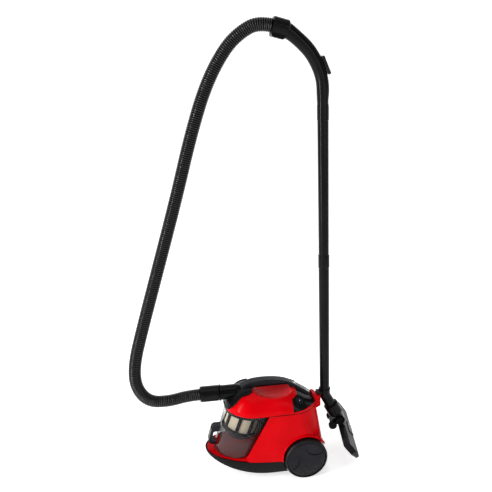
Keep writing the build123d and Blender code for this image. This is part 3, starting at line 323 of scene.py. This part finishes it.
# %% Brush strip
HEAD_PLACE = np.array([0.145058, 0.000161, 0.112001])
HEAD_TURN = math.radians(9.7)
HEAD_PITCH = math.radians(51.5)
BRUSH_MIDDLE = 0.067
BRUSH_HALF = 0.1036
BRUSH_MARGIN = 0.002
TUFT_ROWS = (-0.0014, 0.0014)
TUFTS_ACROSS = 84
STRANDS = 7
BRUSH_SEED = 7
STRAND_SCATTER = 0.00035
STRAND_LEAN = 0.1
STRAND_LENGTH = 0.0068
STRAND_ROOT = 0.0075
STRAND_SHARES = np.array([0.0, 0.6, 1.0])
STRAND_RADII = np.array([0.00022, 0.0002, 0.00012])
BACK_MIDDLE = 0.0088
BACK_HALF = (0.0029, 0.0021)
BACK_ENDS = np.array([0.8, 1.0, 1.0, 0.8])
BACK_BEVEL = 0.0006
BACK_ROUND = 0.4
BACK_SIDES = 16


def in_head(points):
    """From the parked head's own frame, forward, across and up, to the frame of the whole cleaner."""
    level = np.array([math.cos(HEAD_TURN), -math.sin(HEAD_TURN), 0.0])
    across = np.array([math.sin(HEAD_TURN), math.cos(HEAD_TURN), 0.0])
    up = np.array([0.0, 0.0, 1.0])
    forward = math.cos(HEAD_PITCH) * level - math.sin(HEAD_PITCH) * up
    above = math.sin(HEAD_PITCH) * level + math.cos(HEAD_PITCH) * up
    return HEAD_PLACE + points @ np.array([forward, across, above])


def nylon_strands():
    """Strand points are root + reach x lean + radius x corner, the radius shrinking towards the tip."""
    draw = np.random.default_rng(BRUSH_SEED)
    across = np.linspace(-BRUSH_HALF + BRUSH_MARGIN, BRUSH_HALF - BRUSH_MARGIN, TUFTS_ACROSS)
    places = np.stack(np.meshgrid(TUFT_ROWS, across, indexing="ij"), axis=-1).reshape(-1, 2)
    spots = np.repeat(places, STRANDS, axis=0)
    spots = spots + draw.normal(0, STRAND_SCATTER, spots.shape)
    lean = draw.normal(0, STRAND_LEAN, spots.shape)
    reach = STRAND_SHARES * STRAND_LENGTH
    bend = (reach ** 2 / STRAND_LENGTH)[None, :, None]
    corner = np.radians([0, 270, 180, 90])
    radius = STRAND_RADII[None, :, None]
    u = BRUSH_MIDDLE + spots[:, 0, None, None] + lean[:, 0, None, None] * bend + radius * np.cos(corner)
    v = spots[:, 1, None, None] + lean[:, 1, None, None] * bend + radius * np.sin(corner)
    w = np.broadcast_to(STRAND_ROOT - reach[None, :, None], u.shape)
    rings, sides = len(STRAND_RADII), len(corner)
    one = np.concatenate([grid_faces(rings, sides, wrap_columns=True), np.array(end_caps(rings, sides))])
    faces = (one[None] + rings * sides * np.arange(len(spots))[:, None, None]).reshape(-1, 4)
    return in_head(np.stack([u, v, w], axis=-1).reshape(-1, 3)), faces


def brush_back():
    """A bar whose section is a rounded box, sign(cos a) |cos a|^0.4 by sign(sin a) |sin a|^0.4."""
    turn = np.linspace(2 * np.pi, 0, BACK_SIDES, endpoint=False)
    ring_u = BACK_HALF[0] * np.sign(np.cos(turn)) * np.abs(np.cos(turn)) ** BACK_ROUND
    ring_w = BACK_HALF[1] * np.sign(np.sin(turn)) * np.abs(np.sin(turn)) ** BACK_ROUND
    where = np.array([-BRUSH_HALF, -BRUSH_HALF + BACK_BEVEL, BRUSH_HALF - BACK_BEVEL, BRUSH_HALF])
    u = BRUSH_MIDDLE + BACK_ENDS[:, None] * ring_u
    w = BACK_MIDDLE + BACK_ENDS[:, None] * ring_w
    return in_head(np.stack(np.broadcast_arrays(u, where[:, None], w), axis=-1).reshape(-1, 3))


def brush_strip():
    """The strands and their back in one mesh, the back's points after the strands'."""
    strands, faces = nylon_strands()
    back = len(strands) + grid_faces(len(BACK_ENDS), BACK_SIDES, wrap_columns=True)
    caps = end_caps(len(BACK_ENDS), BACK_SIDES, len(strands))
    points = np.concatenate([strands, brush_back()])
    return add_piece("brush_tufts", points, np.concatenate([faces, back]), caps)


tufts = brush_strip()
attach(tufts, "brush")
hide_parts("brush_strip")
print("brush", len(tufts.data.polygons), "faces")

# %% Button lens
BUTTON_SPOT = np.array([-0.017, -0.070, 0.265])
BUTTON_AXIS = np.array([0.327, -0.467, 0.821])
LENS_RADIUS = 0.0019
LENS_SEAT = 0.0018
LENS_RISE = 0.0009
LENS_RINGS = 8
LENS_SIDES = 24


def button_lens():
    """A shallow dome: rings of radius r sin a at height h cos a along the button's axis."""
    up = BUTTON_AXIS / np.linalg.norm(BUTTON_AXIS)
    side = np.cross(up, [0.0, 0.0, 1.0])
    side /= np.linalg.norm(side)
    front = np.cross(up, side)
    rise = np.radians(np.linspace(90, 2, LENS_RINGS))[:, None, None]
    turn = np.linspace(0, 2 * np.pi, LENS_SIDES, endpoint=False)[None, :, None]
    ring = LENS_RADIUS * np.sin(rise) * (np.cos(turn) * side + np.sin(turn) * front)
    skin = BUTTON_SPOT + (LENS_SEAT + LENS_RISE * np.cos(rise)) * up + ring
    faces = grid_faces(LENS_RINGS, LENS_SIDES, wrap_columns=True)
    return add_piece("power_lens", skin, faces, end_caps(LENS_RINGS, LENS_SIDES))


lens_piece = button_lens()
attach(lens_piece, "power_key")
print("lens", len(lens_piece.data.polygons), "faces")

# %% [markdown]
# ## Finishes
# A finish is a small graph of shader nodes. Writing the graph as sums keeps it readable, so one class
# wraps a socket: adding or multiplying two of them adds a Math node. A second class holds the material
# and makes every other node. Patterns read Object coordinates, which are the CAD's metres, so a grain of
# half a millimetre is a noise scale of 2000.

# %% Shader sums
class Value:
    """One output socket of a material; arithmetic on it adds Math nodes."""

    def __init__(self, finish, socket):
        self.finish = finish
        self.socket = socket

    def math(self, operation, first, second):
        return self.finish.node("ShaderNodeMath", {"operation": operation}, {0: first, 1: second})

    def __add__(self, other):
        return self.math("ADD", self, other)

    def __radd__(self, other):
        return self.math("ADD", other, self)

    def __sub__(self, other):
        return self.math("SUBTRACT", self, other)

    def __rsub__(self, other):
        return self.math("SUBTRACT", other, self)

    def __mul__(self, other):
        return self.math("MULTIPLY", self, other)

    def __rmul__(self, other):
        return self.math("MULTIPLY", other, self)

    def __truediv__(self, other):
        return self.math("DIVIDE", self, other)

    def __rtruediv__(self, other):
        return self.math("DIVIDE", other, self)

    def __pow__(self, other):
        return self.math("POWER", self, other)

    def __rpow__(self, other):
        return self.math("POWER", other, self)


class Finish:
    """A material under construction: its node tree, its shader and the metres of the piece it is on."""

    def __init__(self, name):
        self.material = bpy.data.materials.new(name)
        self.material.use_nodes = True
        self.tree = self.material.node_tree
        self.shader = self.tree.nodes["Principled BSDF"]
        self.metres = self.node("ShaderNodeTexCoord", output="Object")

    def node(self, kind, settings=None, sockets=None, output=0):
        """Any node: its settings are set first, then its sockets get values or links."""
        made = self.tree.nodes.new(kind)
        for key, value in (settings or {}).items():
            setattr(made, key, value)
        for key, value in (sockets or {}).items():
            self.feed(made.inputs[key], value)
        return Value(self, made.outputs[output])

    def feed(self, socket, value):
        if isinstance(value, Value):
            self.tree.links.new(value.socket, socket)
        else:
            socket.default_value = value

    def surface(self, **values):
        """Values or links for the shader's sockets; an underscore stands for a space in a socket's name."""
        for name, value in values.items():
            self.feed(self.shader.inputs[name.replace("_", " ")], value)

    def linked(self, name):
        """The value that already feeds one of the shader's sockets."""
        return Value(self, self.shader.inputs[name].links[0].from_socket)

    def noise(self, scale, detail=2.0, rough=0.5):
        """Cloudy noise from 0 to 1, most of it near the middle."""
        sockets = {"Vector": self.metres, "Scale": scale, "Detail": detail, "Roughness": rough}
        return self.node("ShaderNodeTexNoise", None, sockets)

    def between(self, value, low, high):
        """The value's share of the way from low to high, eased, from 0 to 1."""
        sockets = {"Value": value, "From Min": low, "From Max": high}
        return self.node("ShaderNodeMapRange", {"interpolation_type": "SMOOTHSTEP"}, sockets)

    def tint(self, first, second, share):
        """The first colour where share is 0 and the second where it is 1."""
        sockets = {0: share, 6: first, 7: second}
        return self.node("ShaderNodeMix", {"data_type": "RGBA"}, sockets, output=2)

    def axis(self, letter):
        """One coordinate of the surface in metres."""
        return self.node("ShaderNodeSeparateXYZ", None, {0: self.metres}, output=letter)

    def bump(self, height, depth):
        """A normal that stands up by the height's share of this depth in metres."""
        sockets = {"Height": height, "Strength": 1.0, "Distance": depth}
        return self.node("ShaderNodeBump", None, sockets)


def rgb(red, green, blue):
    """A colour given in the usual 0 to 255 steps, as the linear values that shaders use."""
    share = np.array([red, green, blue]) / 255
    linear = np.where(share <= 0.04045, share / 12.92, ((share + 0.055) / 1.055) ** 2.4)
    return (*[float(c) for c in linear], 1.0)


print("shader sums ready")

# %% [markdown]
# ## Moulded plastics
# Nearly all of the cleaner is moulded plastic. The shell is glossy red, the chassis and wand are black
# with a fine spark-eroded grain, and caps and handle are dark grey. They share one recipe: the colour
# drifts a little, the gloss is rubbed unevenly, and a fine bump stands for the mould's grain. What is
# near the floor also carries a trace of dust.

# %% Moulded plastics
DUST_COLOUR = rgb(150, 146, 140)
DUST_TOP = 0.09
COAT_ROUGHNESS = 0.06


def moulded(name, deep, light, gloss, grain, depth, dusty=0.0, coat=0.0, shine=0.3):
    """Colour drifts from deep to light; roughness runs over gloss; grain is the bump's size in metres."""
    finish = Finish(name)
    drift = finish.between(finish.noise(14, detail=3), 0.3, 0.7)
    rub = finish.between(finish.noise(75, detail=6, rough=0.65), 0.35, 0.68)
    colour = finish.tint(deep, light, drift)
    rough = gloss[0] + (gloss[1] - gloss[0]) * rub
    if dusty:
        low = 1 - finish.between(finish.axis("Z"), 0.0, DUST_TOP)
        dust = dusty * low * finish.between(finish.noise(420, detail=4, rough=0.7), 0.42, 0.7)
        colour = finish.tint(colour, DUST_COLOUR, dust)
        rough = rough + 0.3 * dust
    pebbles = finish.bump(finish.noise(1 / grain, detail=2), depth)
    finish.surface(Base_Color=colour, Roughness=rough, Normal=pebbles, Specular_IOR_Level=shine)
    if coat:
        finish.surface(Coat_Weight=coat * (1 - 0.4 * rub), Coat_Roughness=COAT_ROUGHNESS)
    return finish


RED_SHELL = dict(deep=rgb(192, 0, 8), light=rgb(206, 2, 13), gloss=(0.2, 0.28), grain=0.004, depth=0.00002,
                 dusty=0.1, coat=0.03, shine=0.03)
PLASTICS = {
    "red_gloss": RED_SHELL,
    "black_satin": dict(deep=rgb(9, 9, 10), light=rgb(15, 15, 16), gloss=(0.13, 0.2), grain=0.0006,
                        depth=0.000008, dusty=0.12, shine=0.09),
    "dark_grey": dict(deep=rgb(23, 22, 26), light=rgb(31, 30, 35), gloss=(0.15, 0.23), grain=0.0006,
                      depth=0.00001, dusty=0.12, shine=0.09),
    "light_grey": dict(deep=rgb(44, 43, 48), light=rgb(56, 55, 61), gloss=(0.2, 0.3), grain=0.0006,
                       depth=0.00001, dusty=0.1, shine=0.1),
    "head_grey": dict(deep=rgb(16, 15, 18), light=rgb(23, 22, 26), gloss=(0.26, 0.36), grain=0.0006,
                      depth=0.00001, dusty=0.1, shine=0.045),
    "pale_trim": dict(deep=rgb(186, 188, 194), light=rgb(206, 208, 214), gloss=(0.2, 0.32), grain=0.0008,
                      depth=0.00002),
}

finishes = {name: moulded(name, **recipe) for name, recipe in PLASTICS.items()}
print("plastics", sorted(finishes))

# %% [markdown]
# ## Rubber, hose, filter, foam and metal
# The hose's ribs are rubbed shiny on their crests, so its finish reads the crest mark of its own mesh and
# coats the crests alone; the roots between them carry painted shade. The filter is fibrous paper with
# painted shade in its folds, the foam is full of cells painted dark as shade, and the metals are finely
# mottled. The floor head's pins are blackened steel.

# %% Hose finish
def hose_finish():
    """Black soft plastic: the roots between the ribs carry painted shade, darker than the crests, which are
    rubbed a little lighter and are shinier.
    """
    finish = Finish("hose_black")
    crest = finish.node("ShaderNodeAttribute", {"attribute_name": "crest"}, output="Fac")
    rub = finish.between(finish.noise(90, detail=5, rough=0.6), 0.35, 0.7)
    # Painted shade: the roots are painted darker than the crests; the crests are also rubbed lighter by the
    # noise.
    colour = finish.tint(rgb(2, 2, 3), rgb(10, 10, 11), crest * (0.6 + 0.4 * rub))
    rough = 0.45 - 0.25 * crest + 0.05 * rub
    skin = finish.bump(finish.noise(1500, detail=2), 0.00004)
    finish.surface(Base_Color=colour, Roughness=rough, Normal=skin, Specular_IOR_Level=0.05,
                   Coat_Weight=0.85 * crest * crest, Coat_Roughness=0.2)
    return finish


def rubber_finish():
    """Black rubber: dull and pitted, paler and duller still where it is worn."""
    finish = Finish("rubber_black")
    pits = finish.noise(1800, detail=3)
    worn = finish.between(finish.noise(160, detail=5, rough=0.7), 0.45, 0.75)
    colour = finish.tint(rgb(10, 10, 11), rgb(30, 29, 29), 0.6 * worn)
    finish.surface(Base_Color=colour, Roughness=0.6 + 0.2 * worn, Normal=finish.bump(pits, 0.0001),
                   Specular_IOR_Level=0.1)
    return finish


def paper_finish():
    """Filter paper: a fibrous mottle, crossed by the slanting bands of a wave that stand for fine folds, as
    bump and as painted shade in the colour.
    """
    finish = Finish("filter_beige")
    folds = finish.node("ShaderNodeTexWave", {"bands_direction": "DIAGONAL"},
                        {"Vector": finish.metres, "Scale": 75.0, "Distortion": 0.6, "Detail": 1.0})
    fibre = finish.noise(900, detail=5, rough=0.7)
    shade = finish.between(fibre, 0.3, 0.72)
    # Painted shade: a quarter of the colour follows the fold bands, darker and lighter as lit folds would
    # be.
    colour = finish.tint(rgb(196, 180, 150), rgb(232, 222, 200), 0.75 * shade + 0.25 * folds)
    finish.surface(Base_Color=colour, Roughness=0.86 + 0.1 * shade,
                   Normal=finish.bump(0.6 * folds + 0.4 * fibre, 0.0008))
    return finish


def foam_finish():
    """Open foam: cells painted dark as shade, between paler threads."""
    finish = Finish("foam_grey")
    sockets = {"Vector": finish.metres, "Scale": 700.0}
    cells = finish.node("ShaderNodeTexVoronoi", None, sockets, output="Distance")
    wall = finish.between(cells, 0.1, 0.6)
    # Painted shade: the foam's cells are painted dark where its pores would lie in shade.
    colour = finish.tint(rgb(30, 30, 32), rgb(96, 96, 100), wall)
    finish.surface(Base_Color=colour, Roughness=0.9 - 0.1 * wall, Normal=finish.bump(wall, 0.0006))
    return finish


def metal_finish(name, deep, light, rough):
    """Bare metal: a fine mottle over broader stains, brighter and duller by turns."""
    finish = Finish(name)
    mottle = finish.noise(1300, detail=3)
    stain = finish.between(finish.noise(60, detail=4), 0.4, 0.7)
    colour = finish.tint(deep, light, 0.6 * mottle + 0.4 * stain)
    finish.surface(Base_Color=colour, Metallic=1.0, Roughness=rough + 0.15 * stain,
                   Normal=finish.bump(mottle, 0.00004))
    return finish


def bristle_finish():
    """Nylon bristles: dark, their shade drifting from tuft to tuft."""
    finish = Finish("bristle_black")
    shade = finish.noise(600, detail=2)
    colour = finish.tint(rgb(14, 14, 15), rgb(46, 45, 46), finish.between(shade, 0.3, 0.7))
    finish.surface(Base_Color=colour, Roughness=0.5 + 0.2 * shade)
    return finish


finishes["hose_black"] = hose_finish()
finishes["rubber_black"] = rubber_finish()
finishes["filter_beige"] = paper_finish()
finishes["foam_grey"] = foam_finish()
finishes["motor_metal"] = metal_finish("motor_metal", rgb(120, 122, 126), rgb(178, 180, 184), 0.34)
finishes["steel"] = metal_finish("steel", rgb(150, 152, 156), rgb(206, 208, 212), 0.22)
finishes["dark_steel"] = metal_finish("dark_steel", rgb(22, 22, 24), rgb(36, 36, 39), 0.4)
finishes["bristle_black"] = bristle_finish()
print("other finishes", len(finishes))

# %% [markdown]
# ## Clear cup
# The dust cup is smoky clear plastic. Real refraction would leave its inside unlit, because lamps can't
# be aimed through a lens, so the wall is made see-through with Alpha. The solid has an inner and an outer
# face; only the outer one is tinted, or the smoke would count twice. The wall is denser where one looks
# along it, and the plastic is darker towards its base. The red shell behind it carries painted shade, dark
# red, where it lines the cup's bay.

# %% Clear cup
CUP_FOOT = (-0.209, 0.0785, 0.084)
CUP_BRIM = (-0.158, 0.2312, 0.095)
WALL_FADE = (0.0008, 0.0018)
SMOKE_LEAN = 0.45
SMOKE_FADE = (0.122, 0.176)
BASE_FADE = (0.08, 0.125)
BAY_SHADE_FADE = (-0.009, -0.007)
TRAY_SHADE_FADE = (0.084, 0.09)


def cup_depth(finish):
    """How far a point is inside the cup's slanted cone: the radius at its height less its reach."""
    share = (finish.axis("Z") - CUP_FOOT[1]) / (CUP_BRIM[1] - CUP_FOOT[1])
    beside = finish.axis("X") - (CUP_FOOT[0] + (CUP_BRIM[0] - CUP_FOOT[0]) * share)
    reach = (beside * beside + finish.axis("Y") ** 2) ** 0.5
    return CUP_FOOT[2] + (CUP_BRIM[2] - CUP_FOOT[2]) * share - reach


def cup_finish():
    """Alpha is the outer face's mask times (base + smoke + edge); the mask is 1 near the cone."""
    finish = Finish("smoky_clear")
    height = finish.axis("Z")
    outer = 1 - finish.between(cup_depth(finish), *WALL_FADE)
    swirl = finish.noise(30, detail=2)
    slant = height + SMOKE_LEAN * (finish.axis("X") - CUP_FOOT[0])
    smoke = 1 - finish.between(slant, *SMOKE_FADE)
    base = 1 - finish.between(height, *BASE_FADE)
    edge = finish.node("ShaderNodeLayerWeight", None, {"Blend": 0.35}, output="Facing")
    haze = finish.between(finish.noise(240, detail=4, rough=0.7), 0.5, 0.8)
    colour = finish.tint(rgb(50, 49, 50), rgb(54, 32, 31), base)
    density = 0.2 + 0.04 * swirl + 0.4 * smoke + 0.4 * edge * edge
    finish.surface(Base_Color=colour, Specular_IOR_Level=0.3, Roughness=0.04 + 0.05 * haze,
                   Alpha=outer * density, Coat_Weight=0.1 + 0.1 * swirl, Coat_Roughness=0.03)
    return finish


def bay_shade_finish():
    """The red shell with painted shade: dark red where it lines the cup's bay, up to nine millimetres
    outside the cone.
    """
    finish = moulded("red_shell_bay_shade", **RED_SHELL)
    # Painted shade: the shell turns dark red near the cup's cone and above the tray, where the bay lies in
    # shade.
    near_cup = finish.between(cup_depth(finish), *BAY_SHADE_FADE)
    painted_bay_shade = near_cup * finish.between(finish.axis("Z"), *TRAY_SHADE_FADE)
    finish.surface(Base_Color=finish.tint(finish.linked("Base Color"), rgb(40, 8, 10), painted_bay_shade))
    return finish


finishes["smoky_clear"] = cup_finish()
finishes["red_shell_bay_shade"] = bay_shade_finish()
print("cup and bay ready")

# %% [markdown]
# ## Tyres and handle trim
# The tyres have rings moulded into their sides and fine cross grooves on the tread. Both are bump only: the
# rings come from the distance to the axle, the grooves from the angle round it. The strip on the handle is
# dark, with painted highlights, pale and silvery, at its two ends.

# %% Tyres and handle trim
AXLE_HEIGHT = 0.0717
RING_WAVES = 3100
TREAD_GROOVES = 120
TREAD_FADE = (0.0702, 0.0712)
FRONT_HIGHLIGHT = (-0.014, -0.010)
BACK_HIGHLIGHT = (0.024, 0.028)


def tyre_finish():
    """Bump is a wave of the distance from the axle on the sides, and of the angle round it on the tread."""
    finish = Finish("tyre_rubber")
    x = finish.axis("X")
    z = finish.axis("Z") - AXLE_HEIGHT
    reach = (x * x + z * z) ** 0.5
    rings = finish.node("ShaderNodeMath", {"operation": "SINE"}, {0: reach * RING_WAVES})
    angle = finish.node("ShaderNodeMath", {"operation": "ARCTAN2"}, {0: z, 1: x})
    grooves = finish.node("ShaderNodeMath", {"operation": "SINE"}, {0: angle * TREAD_GROOVES})
    tread = finish.between(reach, *TREAD_FADE)
    relief = (1 - tread) * rings * 0.5 + tread * finish.between(grooves, -0.5, 0.2)
    worn = finish.between(finish.noise(160, detail=5, rough=0.7), 0.45, 0.75)
    colour = finish.tint(rgb(9, 9, 10), rgb(26, 25, 25), 0.6 * worn)
    finish.surface(Base_Color=colour, Roughness=0.3 + 0.15 * worn, Normal=finish.bump(relief, 0.0002),
                   Specular_IOR_Level=0.2)
    return finish


def trim_finish():
    """Painted highlights, pale and silvery, at both ends of the strip, by X, and dark between."""
    finish = Finish("handle_trim")
    x = finish.axis("X")
    # Painted highlight: the strip's two ends are painted pale and silvery where highlights fall on it.
    ends = 1 - finish.between(x, *FRONT_HIGHLIGHT) * (1 - finish.between(x, *BACK_HIGHLIGHT))
    brushed = finish.noise(700, detail=3)
    highlight_silver = finish.tint(rgb(178, 180, 186), rgb(210, 212, 218), brushed)
    colour = finish.tint(rgb(34, 33, 37), highlight_silver, ends)
    finish.surface(Base_Color=colour, Roughness=0.24 + 0.12 * brushed, Normal=finish.bump(brushed, 0.00002))
    return finish


finishes["tyre_rubber"] = tyre_finish()
finishes["handle_trim"] = trim_finish()
print("tyre and trim ready")

# %% [markdown]
# ## Dressing
# Every CAD node names a material slot, and most take the finish of that name. A few pieces look different
# from the others of their slot, so they are given a finish of their own. The new pieces follow.

# %% Give every piece its finish
OWN_FINISH = {
    "main_housing": "red_shell_bay_shade", "head_top_shell": "head_grey", "handle_trim": "handle_trim",
    "right_tyre": "tyre_rubber", "left_tyre": "tyre_rubber",
    "roller_axles": "dark_steel", "hinge_pins": "dark_steel",
}

for name, node in nodes.items():
    finish = finishes[OWN_FINISH.get(name, slot_of[name])]
    node.data.materials.clear()
    node.data.materials.append(finish.material)
dressed = {
    hose: "hose_black", lid_moulding: "black_satin", lid_gasket: "black_satin", tufts: "bristle_black",
    lens_piece: "pale_trim",
}
for piece, slot in dressed.items():
    piece.data.materials.append(finishes[slot].material)
print("dressed", len(nodes), "nodes with", len(finishes), "finishes")

# %% [markdown]
# ## Studio
# The photograph is a cut-out on white. Each black tube carries one bright line on its left and a fainter
# one on its right, so two upright strip lamps stand there. A third lamp hangs overhead. The sky is dim,
# which keeps the blacks deep, and the pale floor sweeps up behind the cleaner and glows a little.

# %% Studio
SKY_GLOW = 0.3
SKY_SEEN = 1.0
FLOOR_REACH = 30.0
BEND_START = 3.5
BEND_RADIUS = 2.5
BEND_STEPS = 17
WALL_TOP = 14.0
FLOOR_GLOW = 0.6
LAMPS = {
    "left_strip": dict(place=(-2.5, -1.1, 1.25), aim=(-0.2, 0, 1.25), width=0.12, height=2.5, power=76),
    "right_strip": dict(place=(1.0, -2.3, 1.4), aim=(0, 0, 0.5), width=0.3, height=2.2, power=9),
    "top_lamp": dict(place=(-0.3, -0.3, 3.2), aim=(0, 0, 0.2), width=1.8, height=1.8, power=17),
}


def soft_lamp(name, place, aim, width, height, power):
    """An area lamp at a place, turned to face a point, its height in the upright plane."""
    lamp = bpy.data.lights.new(name, "AREA")
    lamp.shape = "RECTANGLE"
    lamp.size = width
    lamp.size_y = height
    lamp.energy = power
    holder = bpy.data.objects.new(name, lamp)
    holder.location = place
    heading = np.array(aim) - np.array(place)
    tip = math.atan2(math.hypot(heading[0], heading[1]), -heading[2])
    turn = math.atan2(heading[1], heading[0]) - math.pi / 2
    holder.rotation_euler = (tip, 0, turn)
    scene.collection.objects.link(holder)


def studio_sweep():
    """A floor that bends up into a wall: a line, a quarter circle and a line, carried along X."""
    bend = np.linspace(0, np.pi / 2, BEND_STEPS)
    wall = BEND_START + BEND_RADIUS
    y = np.concatenate([[-FLOOR_REACH], BEND_START + BEND_RADIUS * np.sin(bend), [wall]])
    z = np.concatenate([[0.0], BEND_RADIUS - BEND_RADIUS * np.cos(bend), [WALL_TOP]])
    x = np.array([-FLOOR_REACH, FLOOR_REACH])
    points = np.stack(np.broadcast_arrays(x[None, :], y[:, None], z[:, None]), axis=-1)
    sweep = add_piece("studio_sweep", points, grid_faces(len(y), 2)[:, ::-1])
    paint = Finish("studio_white")
    white = paint.tint((0.84, 0.84, 0.84, 1), (0.86, 0.86, 0.86, 1), paint.noise(3, detail=2))
    paint.surface(Base_Color=white, Roughness=0.9, Emission_Color=(1, 1, 1, 1),
                  Emission_Strength=FLOOR_GLOW)
    sweep.data.materials.append(paint.material)


def studio_sky(glow, seen):
    """A white sky that lights the scene by its glow but is this bright where it is looked at directly."""
    world = bpy.data.worlds.new("studio_sky")
    world.use_nodes = True
    tree = world.node_tree
    looked_at = tree.nodes.new("ShaderNodeLightPath").outputs["Is Camera Ray"]
    strength = tree.nodes.new("ShaderNodeMapRange")
    strength.inputs["To Min"].default_value = glow
    strength.inputs["To Max"].default_value = seen
    sky = tree.nodes["Background"]
    sky.inputs["Color"].default_value = (1, 1, 1, 1)
    tree.links.new(looked_at, strength.inputs["Value"])
    tree.links.new(strength.outputs["Result"], sky.inputs["Strength"])
    return world


scene.world = studio_sky(SKY_GLOW, SKY_SEEN)
scene.view_settings.view_transform = "Standard"
studio_sweep()
for name, lamp in LAMPS.items():
    soft_lamp(name, **lamp)
print("studio ready")
